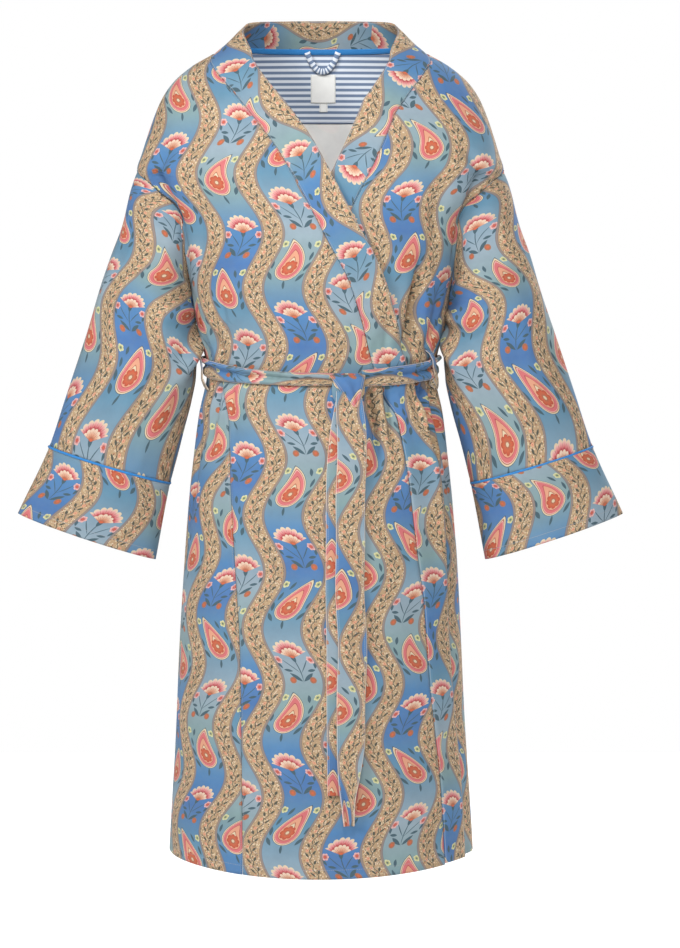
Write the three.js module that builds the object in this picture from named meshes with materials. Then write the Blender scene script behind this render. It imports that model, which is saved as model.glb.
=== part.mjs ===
// A wrap-over kimono robe, filled out as it hangs on a wearer with nobody in it.
// Millimetres, +Z up, the front faces -Y. The origin is where the wearer's shoulders carry the robe: midway between
// the two side neck points, on the ridge of the shoulders. "Right" and "left" are the wearer's own, so right is at -X.
import * as THREE from "three";

// Driving sizes
const HEM_Z = -1085; // hem below the shoulder ridge
const CLOTH = 2; // wall of one panel
const BAND_WIDTH = 45; // front band and collar
const BAND_CLOTH = 2.8; // the band is folded double
const SEAM_GAP = 0.45; // between the pieces that a seam joins
const ARMHOLE_GAP = 0.9; // the armhole seam lies on a curve, so its two edges need more
const OVERLAP_DROP = 5.4; // how far the under front lies below the face of the upper one
const SHOULDER_END_Z = -158; // where the shoulder seam ends and the sleeve is set on
const UNDERARM_Z = -362;
const WAIST_Z = -424; // the narrowest section
const BELT_Z = -418; // middle of the belt at the sides and back
const BELT_SAG = 20; // how much lower it lies at the front
const HEM_RISE = 13; // the hem is this much higher at the sides
const BELT_CLOTH = 2.6;
const TAIL_CLOTH = 2.4;
const PIPING_RADIUS = 1.6;
const COLLAR_SIDE_Z = 38;
const COLLAR_BACK_Z = 46;
const FACING_DROP = 93; // striped half moon inside the back neck
const FACING_LIFT = -3; // negative lifts lie inside the robe's face
const FACING_CLOTH = 1.2;
const PATCH_LIFT = -4.7; // tape, label and size tab lie on the facing
const LABEL_CLOTH = 0.8;
const LOOP_LIFT = -6.1;
const LOOP_FROM = -19;
const LOOP_TO = 24;
const LOOP_TOP = 6;
const LOOP_DROP = 25;
const LOOP_WIDTH = 7;
const KNOT_ACROSS = 36;
const KNOT_HALF_WIDTH = 21;
const KNOT_LIFT = 1.6;

const COLOURS = {
  print: 0x7f93a0,
  piping: 0x2f78c4,
  stripe: 0x8fa4c8,
  label: 0xf2efe6,
};

// Makes rows of named values from a list of column names and lists of numbers.
function table(columns, rows) {
  return rows.map((row) => Object.fromEntries(columns.map((name, i) => [name, row[i]])));
}

// Horizontal sections of the body, from the top of the collar to the hem.
const SECTIONS = table(
  ["z", "halfWidth", "front", "back", "square"],
  [
    [HEM_Z, 206, 151, 155, 2.1],
    [-921, 196.5, 145, 148, 2.1],
    [-745, 188, 138, 142, 2.1],
    [-600, 178, 128, 132, 2.15],
    [-543, 172, 120, 122, 2.15],
    [-480, 164, 109, 106, 2.2],
    [-450, 157, 103, 97, 2.2],
    [WAIST_Z, 152, 99, 92, 2.2],
    [-401, 157, 103, 95, 2.2],
    [UNDERARM_Z, 167, 110, 101, 2.3],
    [-310, 175, 118, 109, 2.3],
    [-262, 186, 119, 112, 2.3],
    [-232, 195, 117, 113, 2.35],
    [-205, 213, 115, 112, 2.4],
    [-180, 233, 112, 111, 2.4],
    [SHOULDER_END_Z, 245, 108, 110, 2.4],
    [-138, 239, 104, 108, 2.35],
    [-107, 229, 96, 104, 2.3],
    [-85, 221, 90, 100, 2.2],
    [-63, 211, 82, 96, 2.15],
    [-42, 196, 73, 91, 2.1],
    [-20, 169.5, 63, 85, 2.05],
    [0, 135, 52, 79, 2],
    [12, 121, 42, 75, 2],
    [23, 110, 31, 70, 2],
    [34, 98, 18, 65, 2],
    [COLLAR_BACK_Z, 88, 8, 60, 2],
    [58, 78, 6, 54, 2],
  ],
);

// The free edge of each front, seen from the front: across at each height. The right front lies on top.
const FREE_EDGES = table(
  ["z", "right", "left"],
  [
    [HEM_Z, 193, -84],
    [-965, 186, -84],
    [-822, 174, -85],
    [-728, 168, -86],
    [-655, 160, -87],
    [-563, 151, -88],
    [-501, 142, -87],
    [-471, 137, -86],
    [-450, 128, -85],
    [WAIST_Z, 117, -84],
    [-399, 109, -80],
    [-372, 103, -74],
    [-339, 95, -65],
    [-283, 76, -44],
    [-235, 50, -18],
    [-200, 32, -2],
    [-164, 13, 15],
    [-120, -11, 36],
    [-97, -27, 46],
    [-69, -48, 57],
    [-26, -74, 78],
    [3, -87, 88],
  ],
);

// The side seams, brought forward by the wrap: across at each height, the same on both sides.
const SIDE_SEAM = table(
  ["z", "across"],
  [
    [HEM_Z, 102],
    [-930, 103],
    [-783, 106],
    [-680, 112],
    [-569, 118],
    [-501, 121],
    [-462, 127],
    [WAIST_Z, 138],
    [-401, 150],
    [-385, 158.5],
    [-372, 164],
    [UNDERARM_Z, 167],
  ],
);

// The armhole seam: its angle round the body at each height.
const ARMHOLE = table(
  ["z", "angle"],
  [
    [UNDERARM_Z, 90],
    [-310, 84],
    [-262, 75],
    [-232, 69],
    [-205, 66],
    [-186, 67.5],
    [-172, 74],
    [-164, 82],
    [SHOULDER_END_Z, 90],
  ],
);

// Each sleeve, from the armhole to its hem: the outer and inner silhouette points and half the depth.
const SLEEVE_RINGS = table(
  ["outerX", "outerZ", "innerX", "innerZ", "depth"],
  [
    [245, SHOULDER_END_Z, 167, UNDERARM_Z, 58],
    [254, -187, 166, -377, 60],
    [266, -232, 165.5, -396, 61],
    [281, -275, 166.5, -417, 60],
    [298, -327, 168, -438, 58],
    [318, -390, 174, -468, 55],
    [342, -460, 187, -517, 51],
    [365, -528, 203, -577, 47],
    [407, -618, 222, -680, 43],
  ],
);
const SLEEVE_BLEND_RINGS = 2.6; // how many rings the armhole's own shape reaches down the sleeve
const CUFF_RING = 7; // the ring where the cuff is sewn on
const SEAM_RINGS = 0.019; // half the room that the cord takes in the cuff seam, in rings
const SLEEVE_TIP = 1.2; // over 1 makes the sleeve's edges sharper than an ellipse

// The main folds: each is a trough along a slanting line. Angles are round the body, 0 at the front and + to the left.
const FOLDS = table(
  ["fromAngle", "fromZ", "toAngle", "toZ", "depth", "width", "peak"],
  [
    // under the knot
    [25, -450, 27, -570, 7, 9, 0.25],
    [34, -452, 34, -545, 4, 7, 0.3],
    [4, -456, 1, -560, 3, 9, 0.3],
    // from the left belt loop down the side
    [47, -442, 56, -540, 7, 8, 0.3],
    [57, -440, 68, -600, 9, 9, 0.3],
    [69, -438, 84, -660, 10, 11, 0.35],
    // from the right belt loop down the side
    [-60, -440, -55, -560, 6, 8, 0.3],
    [-74, -438, -71, -640, 8, 10, 0.3],
    // the back of the skirt
    [93, -435, 99, -700, 11, 13, 0.3],
    [110, -435, 115, -780, 12, 14, 0.3],
    [126, -435, 131, -640, 9, 12, 0.3],
    [142, -435, 145, -860, 13, 15, 0.3],
    [158, -435, 160, -690, 9, 12, 0.3],
    [173, -435, 173, -800, 12, 15, 0.3],
    [189, -435, 188, -660, 9, 12, 0.3],
    [204, -435, 202, -880, 13, 15, 0.3],
    [220, -435, 216, -680, 10, 13, 0.3],
    [236, -435, 231, -790, 12, 14, 0.3],
    [252, -435, 247, -640, 10, 13, 0.3],
    [268, -435, 264, -720, 9, 12, 0.3],
    // above the belt, in front
    [46, -405, 45, -270, 12, 10, 0.3],
    [60, -407, 62, -300, 6, 9, 0.3],
    [-58, -408, -60, -350, 4, 7, 0.35],
    [-70, -407, -76, -310, 7, 9, 0.35],
    // above the belt, at the back
    [104, -405, 103, -270, 8, 12, 0.3],
    [121, -405, 119, -330, 6, 11, 0.3],
    [138, -405, 139, -240, 9, 13, 0.3],
    [155, -405, 157, -320, 6, 11, 0.3],
    [172, -405, 172, -250, 8, 13, 0.3],
    [190, -405, 189, -330, 6, 11, 0.3],
    [207, -405, 205, -240, 9, 13, 0.3],
    [224, -405, 226, -320, 6, 11, 0.3],
    [242, -405, 243, -270, 8, 12, 0.3],
    // from the shoulders into the armpits, in front and at the back
    [68, -236, 47, -118, 11, 11, 0.35],
    [-68, -236, -50, -118, 11, 11, 0.35],
    [112, -236, 131, -112, 10, 12, 0.35],
    [248, -236, 229, -112, 10, 12, 0.35],
  ],
);

// The belt's profile from its lower to its upper edge: a share of half its height, and its face above the robe.
const BELT_PROFILE = table(
  ["share", "lift"],
  [
    [-1, 4.4],
    [-0.6, 6.1],
    [0.05, 4.3],
    [0.6, 6],
    [1, 4.4],
  ],
);

// The belt's height round the waist: it is crushed most beside the knot.
const BELT_HEIGHTS = table(
  ["angle", "height"],
  [
    [0, 12],
    [14, 18],
    [48, 25],
    [95, 27],
    [265, 27],
    [300, 21],
    [345, 13],
    [374, 12],
  ],
);

// The hanging ends of the belt. Curl brings their two edges forward of their middle.
const TAIL_FRONT = table(
  ["z", "across", "halfWidth", "lift", "curl"],
  [
    [-1012, 37, 6, 9, 3],
    [-985, 37, 8, 9, 4],
    [-950, 38, 14, 9, 3],
    [-900, 39, 18, 6.6, 0.5],
    [-740, 39.5, 18.5, 6.1, 0],
    [-560, 39, 18.5, 6.8, 0.5],
    [-510, 38, 18.5, 8.6, 0.6],
    [-474, 37, 17, 9.4, 0.4],
  ],
);
const TAIL_BACK = table(
  ["z", "across", "halfWidth", "lift", "curl"],
  [
    [-973, 27, 17, 3.1, 0],
    [-880, 26.5, 18, 3.1, 0],
    [-700, 26, 18.5, 3.1, 0],
    [-560, 26, 18, 3.1, 0],
    [-510, 28, 16.5, 3.8, 0],
    [-474, 32, 14, 4.2, 0],
  ],
);

// The knot from below to its top: its middle from KNOT_ACROSS, and how far it stands out.
const KNOT_RINGS = table(
  ["z", "across", "halfWidth", "depth"],
  [
    [-471, 1, 14, 6.4],
    [-466, 1, 18, 9.2],
    [-454, 0, 20, 10.4],
    [-441, 0, 21, 10.4],
    [-431, 0, 20, 9.4],
    [-426, 0, 16, 6.4],
  ],
);

// A belt carrier's way round the belt: its height from the belt's middle, and how far it stands out.
const CARRIER_PATH = table(
  ["drop", "lift"],
  [
    [27, 3.1],
    [23, 5.5],
    [14, 9.4],
    [2, 10.4],
    [-10, 10.4],
    [-20, 8.8],
    [-26, 5.5],
    [-30, 2],
  ],
);

const rad = THREE.MathUtils.degToRad;
const clamp = THREE.MathUtils.clamp;
const mix = THREE.MathUtils.lerp;
const smooth = THREE.MathUtils.smoothstep;

// A smooth curve through rising points that never overshoots them.
function curve(rows, from, to) {
  const xs = rows.map((row) => row[from]);
  const ys = rows.map((row) => row[to]);
  const steps = xs.slice(1).map((x, i) => (ys[i + 1] - ys[i]) / (x - xs[i]));
  const slopes = xs.map((_, i) => {
    if (i === 0) return steps[0];
    if (i === xs.length - 1) return steps[i - 1];
    if (steps[i - 1] * steps[i] <= 0) return 0;
    return (2 * steps[i - 1] * steps[i]) / (steps[i - 1] + steps[i]);
  });
  return (x) => {
    const at = clamp(x, xs[0], xs[xs.length - 1]);
    let i = 0;
    while (i < xs.length - 2 && at > xs[i + 1]) i++;
    const span = xs[i + 1] - xs[i];
    const t = (at - xs[i]) / span;
    const rise = ys[i + 1] - ys[i];
    return (
      ys[i] +
      rise * t * t * (3 - 2 * t) +
      span * (slopes[i] * t * (1 - t) ** 2 - slopes[i + 1] * t * t * (1 - t))
    );
  };
}

const halfWidth = curve(SECTIONS, "z", "halfWidth");
const frontDepth = curve(SECTIONS, "z", "front");
const backDepth = curve(SECTIONS, "z", "back");
const squareness = curve(SECTIONS, "z", "square");
const beltTallness = curve(BELT_HEIGHTS, "angle", "height");
const armholeAngle = curve(ARMHOLE, "z", "angle");
const sideSeamAcross = curve(SIDE_SEAM, "z", "across");
const edgeAcross = { right: curve(FREE_EDGES, "z", "right"), left: curve(FREE_EDGES, "z", "left") };

// A point of the plain form, before folds: a squared ellipse at each height.
function form(angle, z) {
  const across = Math.sin(rad(angle));
  const along = Math.cos(rad(angle));
  const power = squareness(z);
  const swell = (Math.abs(across) ** power + Math.abs(along) ** power) ** (-1 / power);
  const depth = along > 0 ? frontDepth(z) : backDepth(z);
  const rise = HEM_RISE * across * across * smooth(-z, 850, -HEM_Z);
  return new THREE.Vector3(halfWidth(z) * across * swell, -depth * along * swell, z + rise);
}

// The outward normal of any surface given as a function of angle and height.
function normalOf(surface, angle, z) {
  const dAngle = 0.2;
  const dZ = 0.5;
  const round = surface(angle + dAngle, z).sub(surface(angle - dAngle, z));
  const up = surface(angle, z + dZ).sub(surface(angle, z - dZ));
  return round.cross(up).normalize();
}

// The angle on the front of the form at which it is so far across.
function angleAcross(across, z) {
  const share = clamp(across / halfWidth(z), -1, 1);
  const power = squareness(z);
  return THREE.MathUtils.radToDeg(Math.atan2(share, (1 - Math.abs(share) ** power) ** (1 / power)));
}

// How deep the folds press the cloth in at a point.
function foldDepth(angle, z) {
  const turn = ((angle % 360) + 360) % 360;
  const radius = (halfWidth(z) + backDepth(z)) / 2;
  let depth = 0;
  for (const fold of FOLDS) {
    const s = (z - fold.fromZ) / (fold.toZ - fold.fromZ);
    if (s <= 0 || s >= 1) continue;
    const middle = mix(fold.fromAngle, fold.toAngle, s);
    const away = ((turn - middle + 540) % 360) - 180;
    const bend = s ** (Math.log(0.5) / Math.log(fold.peak));
    depth += fold.depth * Math.sin(Math.PI * bend) * Math.exp(-(((rad(away) * radius) / fold.width) ** 2));
  }
  return depth;
}

// What lies under the right front drops by the thickness of that front, and rises again beyond its free edge.
function underDrop(angle, z) {
  const edge = freeEdgeAngle("right", z);
  return OVERLAP_DROP * (1 - smooth(angle, edge + 2, edge + 13));
}

function freeEdgeAngle(side, z) {
  return angleAcross(edgeAcross[side](z), z);
}

// The robe's face with its folds, lifted or dropped along the normal.
function face(angle, z, lift = 0) {
  return form(angle, z).addScaledVector(normalOf(form, angle, z), lift - foldDepth(angle, z));
}

// Layers of the body: the face each piece follows.
const upper = (angle, z) => face(angle, z);
const under = (angle, z) => face(angle, z, -underDrop(angle, z));
function backFace(angle, z) {
  return angle < 150 ? under(angle, z) : upper(angle, z);
}

// A closed skin from points and triangles, turned over if its faces look inwards.
function closedSkin(positions, index) {
  const corner = (i) => new THREE.Vector3().fromArray(positions, 3 * i);
  let volume = 0;
  for (let i = 0; i < index.length; i += 3) {
    volume += corner(index[i]).dot(corner(index[i + 1]).cross(corner(index[i + 2])));
  }
  const geometry = new THREE.BufferGeometry();
  geometry.setAttribute("position", new THREE.Float32BufferAttribute(positions, 3));
  geometry.setIndex(volume < 0 ? index.slice().reverse() : index);
  geometry.computeVertexNormals();
  return geometry;
}

// A closed wall: an outer and an inner grid of points, with rims round its open sides.
function wallGeometry(outer, inner, isRing) {
  const rows = outer.length;
  const columns = outer[0].length;
  const positions = [];
  for (const grid of [outer, inner]) for (const row of grid) for (const p of row) positions.push(p.x, p.y, p.z);
  const index = [];
  const at = (layer, row, column) => (layer * rows + row) * columns + (column % columns);
  const quad = (a, b, c, d) => index.push(a, b, c, a, c, d);
  const lastColumn = isRing ? columns : columns - 1;
  for (let r = 0; r < rows - 1; r++) {
    for (let c = 0; c < lastColumn; c++) {
      quad(at(0, r, c), at(0, r, c + 1), at(0, r + 1, c + 1), at(0, r + 1, c));
      quad(at(1, r, c), at(1, r + 1, c), at(1, r + 1, c + 1), at(1, r, c + 1));
    }
  }
  for (let c = 0; c < lastColumn; c++) {
    quad(at(0, 0, c), at(1, 0, c), at(1, 0, c + 1), at(0, 0, c + 1));
    quad(at(0, rows - 1, c), at(0, rows - 1, c + 1), at(1, rows - 1, c + 1), at(1, rows - 1, c));
  }
  for (let r = 0; r < rows - 1 && !isRing; r++) {
    quad(at(0, r, 0), at(0, r + 1, 0), at(1, r + 1, 0), at(1, r, 0));
    quad(at(0, r, columns - 1), at(1, r, columns - 1), at(1, r + 1, columns - 1), at(0, r + 1, columns - 1));
  }
  return closedSkin(positions, index);
}

// A wall over rows of (angle, z) places on a face, built down to its thickness below that face.
function panelGeometry(surface, places, thickness) {
  const outer = [];
  const inner = [];
  for (const row of places) {
    outer.push([]);
    inner.push([]);
    for (const { angle, z, lift = 0 } of row) {
      const point = surface(angle, z);
      const normal = normalOf(surface, angle, z);
      outer.at(-1).push(point.clone().addScaledVector(normal, lift));
      inner.at(-1).push(point.addScaledVector(normal, lift - thickness));
    }
  }
  return wallGeometry(outer, inner, false);
}

// Moves an angle along the body by so many millimetres at that height.
function shiftAngle(angle, z, distance) {
  const step = 0.5;
  const reach = form(angle + step, z).distanceTo(form(angle - step, z)) / (2 * step);
  return angle + distance / reach;
}

// Steps over the form from a place in a given direction.
function walk(place, direction, distance) {
  const dAngle = 0.1;
  const dZ = 0.2;
  const round = form(place.angle + dAngle, place.z).sub(form(place.angle - dAngle, place.z)).divideScalar(2 * dAngle);
  const up = form(place.angle, place.z + dZ).sub(form(place.angle, place.z - dZ)).divideScalar(2 * dZ);
  const [rr, ru, uu] = [round.dot(round), round.dot(up), up.dot(up)];
  const [dr, du] = [direction.dot(round), direction.dot(up)];
  const scale = distance / (rr * uu - ru * ru);
  return { angle: place.angle + scale * (dr * uu - du * ru), z: place.z + scale * (du * rr - dr * ru) };
}

// The band's free edge as places, from the right hem up round the back of the neck and down to the left hem.
function freeEdgePlaces() {
  const frontSteps = 60;
  const backSteps = 24;
  const topZ = FREE_EDGES.at(-1).z;
  const levels = Array.from({ length: frontSteps + 1 }, (_, i) => mix(HEM_Z, topZ, 1 - (1 - i / frontSteps) ** 1.25));
  const right = levels.map((z) => ({ angle: freeEdgeAngle("right", z), z }));
  const left = levels.map((z) => ({ angle: freeEdgeAngle("left", z), z })).reverse();
  const back = [];
  for (let i = 1; i < backSteps; i++) {
    const t = i / backSteps;
    const startAngle = right.at(-1).angle;
    const endAngle = left[0].angle - 360;
    const rise = Math.min(1, Math.sin(Math.PI * t) * 1.9);
    const top = mix(COLLAR_SIDE_Z, COLLAR_BACK_Z, Math.sin(Math.PI * t) ** 4);
    back.push({ angle: mix(startAngle, endAngle, t), z: mix(topZ, top, Math.sin((rise * Math.PI) / 2)) });
  }
  const leftTurned = left.map((place) => ({ angle: place.angle - 360, z: place.z }));
  return { places: [...right, ...back, ...leftTurned], rightCount: right.length, leftStart: right.length + back.length };
}

// Crosses the band from its free edge to its seam in short steps, square to the edge.
function bandPlaces(columns) {
  const { places, rightCount, leftStart } = freeEdgePlaces();
  const stepsPerColumn = 3;
  const rows = places.map((place, i) => {
    const before = places[Math.max(0, i - 1)];
    const after = places[Math.min(places.length - 1, i + 1)];
    const along = form(after.angle, after.z).sub(form(before.angle, before.z)).normalize();
    const row = [place];
    let here = place;
    let heading = normalOf(form, here.angle, here.z).cross(along);
    for (let c = 0; c < columns * stepsPerColumn; c++) {
      const normal = normalOf(form, here.angle, here.z);
      heading = heading.addScaledVector(normal, -heading.dot(normal)).normalize();
      here = walk(here, heading, BAND_WIDTH / (columns * stepsPerColumn));
      if (c % stepsPerColumn === stepsPerColumn - 1) row.push(here);
    }
    return row.map((p) => ({ angle: p.angle, z: Math.max(p.z, HEM_Z) }));
  });
  return { rows: easedRows(rows, rightCount - 8, leftStart + 7), rightCount, leftStart };
}

// Evens out the band where it turns round the sides of the neck.
function easedRows(rows, first, last) {
  let eased = rows;
  for (let pass = 0; pass < 10; pass++) {
    const before = eased;
    eased = before.map((row, i) => {
      if (i <= first || i >= last) return row;
      return row.map((place, c) => ({
        angle: place.angle / 2 + (before[i - 1][c].angle + before[i + 1][c].angle) / 4,
        z: place.z / 2 + (before[i - 1][c].z + before[i + 1][c].z) / 4,
      }));
    });
  }
  return eased;
}

const BAND_COLUMNS = 2;
const BACK_COLUMNS = 30;
const band = bandPlaces(BAND_COLUMNS);
const seamPlaces = band.rows.map((row) => row.at(-1));

// The angle of the band's seam on one front at a height.
function bandSeamAngle(side, z) {
  const turn = side === "left" ? 360 : 0;
  const all = side === "right" ? seamPlaces : seamPlaces.slice().reverse();
  for (let i = 1; i < all.length; i++) {
    if (all[i].z < z && i < all.length - 1) continue;
    const t = clamp((z - all[i - 1].z) / (all[i].z - all[i - 1].z || 1), 0, 1);
    return mix(all[i - 1].angle, all[i].angle, t) + turn;
  }
  return turn;
}

// The height at which a front's band seam reaches the ridge of the shoulder.
function neckPointZ(side) {
  const sign = side === "right" ? -1 : 1;
  let low = -60;
  let high = 30;
  for (let i = 0; i < 30; i++) {
    const middle = (low + high) / 2;
    if (sign * bandSeamAngle(side, middle) < 90) low = middle;
    else high = middle;
  }
  return low;
}

// Where a panel ends at its outer side: the shoulder seam, then the armhole, then the side seam.
function outerAngle(z, isBack) {
  if (z > SHOULDER_END_Z) return 90;
  if (z > UNDERARM_Z) return isBack ? 180 - armholeAngle(z) : armholeAngle(z);
  return angleAcross(sideSeamAcross(z), z);
}

const LEVELS = [
  HEM_Z, -1000, -880, -770, -680, -605, -550, -510, -480, -458, -440, WAIST_Z, -404, -382, UNDERARM_Z, -354, -338,
  -312, -286, -259, -232, -208, -187, -170, SHOULDER_END_Z, -130, -98, -68, -44, -24, -9, 4,
];

// The turns round a sleeve at which its armhole meets the rows of the panels.
const SLEEVE_TURNS = armholeTurns();
function armholeTurns() {
  const inFront = LEVELS.filter((z) => z > UNDERARM_Z && z < SHOULDER_END_Z).reverse();
  const turns = inFront.map((z) => {
    const share = (SHOULDER_END_Z - z) / (SHOULDER_END_Z - UNDERARM_Z);
    return THREE.MathUtils.radToDeg(Math.acos(1 - 2 * share));
  });
  return [0, ...turns, 180, ...turns.map((turn) => -turn).reverse()];
}

// The heights of a front panel's rows, up to the neck point.
function frontLevels(side) {
  const top = neckPointZ(side) - 1.5;
  return [...LEVELS.filter((z) => z < top - 4), top];
}

// Places of a front panel, from its outer side to the band.
function frontPlaces(side, columns) {
  const sign = side === "right" ? -1 : 1;
  return frontLevels(side).map((z) => {
    const outside = shiftAngle(sign * outerAngle(z, false), z, (-sign * SEAM_GAP) / 2);
    const inside = shiftAngle(bandSeamAngle(side, z), z, (sign * SEAM_GAP) / 2);
    return Array.from({ length: columns + 1 }, (_, c) => {
      const t = c / columns;
      return { angle: side === "right" ? mix(outside, inside, t) : mix(inside, outside, t), z };
    });
  });
}

// Places of the back panel, from its left side round the back to its right side.
function backPlaces(columns) {
  const top = Math.min(neckPointZ("left"), neckPointZ("right"));
  const rows = LEVELS.filter((z) => z < top - 4).map((z) => {
    const start = shiftAngle(outerAngle(z, true), z, SEAM_GAP / 2);
    const end = shiftAngle(360 - outerAngle(z, true), z, -SEAM_GAP / 2);
    return Array.from({ length: columns + 1 }, (_, c) => ({ angle: mix(start, end, c / columns), z }));
  });
  const last = rows.at(-1);
  rows.push(last.map(({ angle }) => ({ angle, z: seamHeightAt(angle) - SEAM_GAP })));
  return rows;
}

// The height of the collar seam round the back of the neck.
function seamHeightAt(angle) {
  const turned = angle > 180 ? angle - 360 : angle;
  const around = seamPlaces.map((p) => ({ angle: p.angle < -180 ? p.angle + 360 : p.angle, z: p.z }));
  const near = around.filter((p) => Math.sign(p.angle) === Math.sign(turned || 1) && Math.abs(p.angle) > 75);
  near.sort((a, b) => Math.abs(a.angle) - Math.abs(b.angle));
  const size = Math.abs(turned);
  for (let i = 1; i < near.length; i++) {
    if (Math.abs(near[i].angle) < size && i < near.length - 1) continue;
    const low = Math.abs(near[i - 1].angle);
    const high = Math.abs(near[i].angle);
    return mix(near[i - 1].z, near[i].z, clamp((size - low) / (high - low || 1), 0, 1));
  }
  return 0;
}

// A point of the sleeve's tube: ring is counted from the armhole, turn is 0 outside, 90 in front, 180 inside.
const ringAt = Object.fromEntries(
  ["outerX", "outerZ", "innerX", "innerZ", "depth"].map((key) => [
    key,
    curve(SLEEVE_RINGS.map((row, i) => ({ ring: i, value: row[key] })), "ring", "value"),
  ]),
);
function sleevePoint(sign, turn, ring) {
  const outer = new THREE.Vector3(ringAt.outerX(ring), 0, ringAt.outerZ(ring));
  const inner = new THREE.Vector3(ringAt.innerX(ring), 0, ringAt.innerZ(ring));
  const t = (1 - Math.cos(rad(turn))) / 2;
  const side = Math.sin(rad(turn));
  const point = outer.lerp(inner, t);
  point.y = -Math.sign(side) * ringAt.depth(ring) * Math.abs(side) ** SLEEVE_TIP;
  const share = smooth(ring, 0, SLEEVE_BLEND_RINGS);
  if (share < 1) {
    const z = mix(SHOULDER_END_Z, UNDERARM_Z, t);
    const angle = side >= 0 ? armholeAngle(z) : 180 - armholeAngle(z);
    const onBody = side >= 0 ? face(angle, z) : backFace(angle, z);
    onBody.z -= ARMHOLE_GAP / 2;
    onBody.x += ARMHOLE_GAP;
    onBody.add(new THREE.Vector3(point.x, 0, point.z)).sub(
      new THREE.Vector3(mix(ringAt.outerX(0), ringAt.innerX(0), t), 0, mix(ringAt.outerZ(0), ringAt.innerZ(0), t)),
    );
    point.lerp(onBody, 1 - share);
  }
  point.x *= sign;
  return point;
}

// Rings of a sleeve between two of its rings, as a closed wall.
function sleeveGeometry(sign, fromRing, toRing, rows) {
  const outer = [];
  const inner = [];
  for (let r = 0; r <= rows; r++) {
    const ring = mix(toRing, fromRing, r / rows);
    outer.push([]);
    inner.push([]);
    for (const turn of SLEEVE_TURNS) {
      const point = sleevePoint(sign, turn, ring);
      const round = sleevePoint(sign, turn + 2, ring).sub(sleevePoint(sign, turn - 2, ring));
      const down = sleevePoint(sign, turn, ring + 0.05).sub(sleevePoint(sign, turn, ring - 0.05));
      const normal = round.cross(down).normalize().multiplyScalar(sign);
      if (normal.dot(point.clone().sub(ringMiddle(sign, ring))) < 0) normal.negate();
      outer.at(-1).push(point.clone());
      inner.at(-1).push(point.addScaledVector(normal, -CLOTH));
    }
  }
  return wallGeometry(outer, inner, true);
}

function ringMiddle(sign, ring) {
  const x = (ringAt.outerX(ring) + ringAt.innerX(ring)) / 2;
  return new THREE.Vector3(sign * x, 0, (ringAt.outerZ(ring) + ringAt.innerZ(ring)) / 2);
}

// One row of the band at a broken row number, from its free edge to its seam.
function bandRowAt(number) {
  const i = clamp(Math.floor(number), 0, band.rows.length - 2);
  const t = number - i;
  return band.rows[i].map((place, c) => ({
    angle: mix(place.angle, band.rows[i + 1][c].angle, t),
    z: mix(place.z, band.rows[i + 1][c].z, t),
  }));
}

// The row number at which the band's seam passes a height, on one front.
function bandNumberAt(side, z) {
  const last = seamPlaces.length - 1;
  for (let i = 1; i <= last; i++) {
    const near = side === "right" ? i : last - i;
    const before = side === "right" ? i - 1 : last - i + 1;
    if (seamPlaces[near].z < z) continue;
    const t = (z - seamPlaces[before].z) / (seamPlaces[near].z - seamPlaces[before].z || 1);
    return mix(before, near, clamp(t, 0, 1));
  }
  return last;
}

// A front's share of the band, with its rows at the same heights as the panel's.
function frontBandPlaces(side) {
  const rows = frontLevels(side).map((z) => bandRowAt(bandNumberAt(side, z)));
  if (side === "right") return rows.map((row) => row.slice().reverse());
  return rows.map((row) => row.map((place) => ({ angle: place.angle + 360, z: place.z })));
}

// The row number at which the band's seam passes an angle at the back of the neck.
function bandNumberAtAngle(angle) {
  let i = 1;
  while (i < seamPlaces.length - 1 && seamPlaces[i].angle > angle) i++;
  return i - 1 + (seamPlaces[i - 1].angle - angle) / (seamPlaces[i - 1].angle - seamPlaces[i].angle);
}

// The back's share of the band, between the two neck points, with its rows where the back's columns end.
function backBandPlaces() {
  const from = bandNumberAt("right", neckPointZ("right") - 1.5) + 0.03;
  const to = bandNumberAt("left", neckPointZ("left") - 1.5) - 0.03;
  const angles = backPlaces(BACK_COLUMNS).at(-1).map((place) => place.angle - 360);
  const numbers = angles.reverse().slice(1, -1).map(bandNumberAtAngle);
  return [from, ...numbers.filter((number) => number > from && number < to), to].map(bandRowAt);
}

// Inside the back neck a place is shown by its distance across and its height.
function insideBack(across, z, lift) {
  return { angle: 180 - angleAcross(across, z), z, lift };
}

// The half moon's lower edge falls in the middle and rises to the ends of the shoulders.
function facingPlaces() {
  const columns = 18;
  const rows = 4;
  return Array.from({ length: rows + 1 }, (_, r) =>
    Array.from({ length: columns + 1 }, (_, c) => {
      const angle = mix(101, 259, c / columns);
      const away = Math.abs(angle - 180) / 79;
      const top = seamHeightAt(angle) - 1.5;
      const bottom = top - 8 - (FACING_DROP - 8) * (1 - away ** 2.4) ** 0.62;
      return { angle, z: mix(bottom, top, r / rows), lift: FACING_LIFT };
    }),
  );
}

// A flat patch inside the back neck between two sides and two heights.
function patchPlaces(fromAcross, toAcross, bottom, top, columns, rows) {
  return Array.from({ length: rows + 1 }, (_, r) =>
    Array.from({ length: columns + 1 }, (_, c) =>
      insideBack(mix(toAcross, fromAcross, c / columns), mix(bottom, top, r / rows), PATCH_LIFT),
    ),
  );
}

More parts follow.
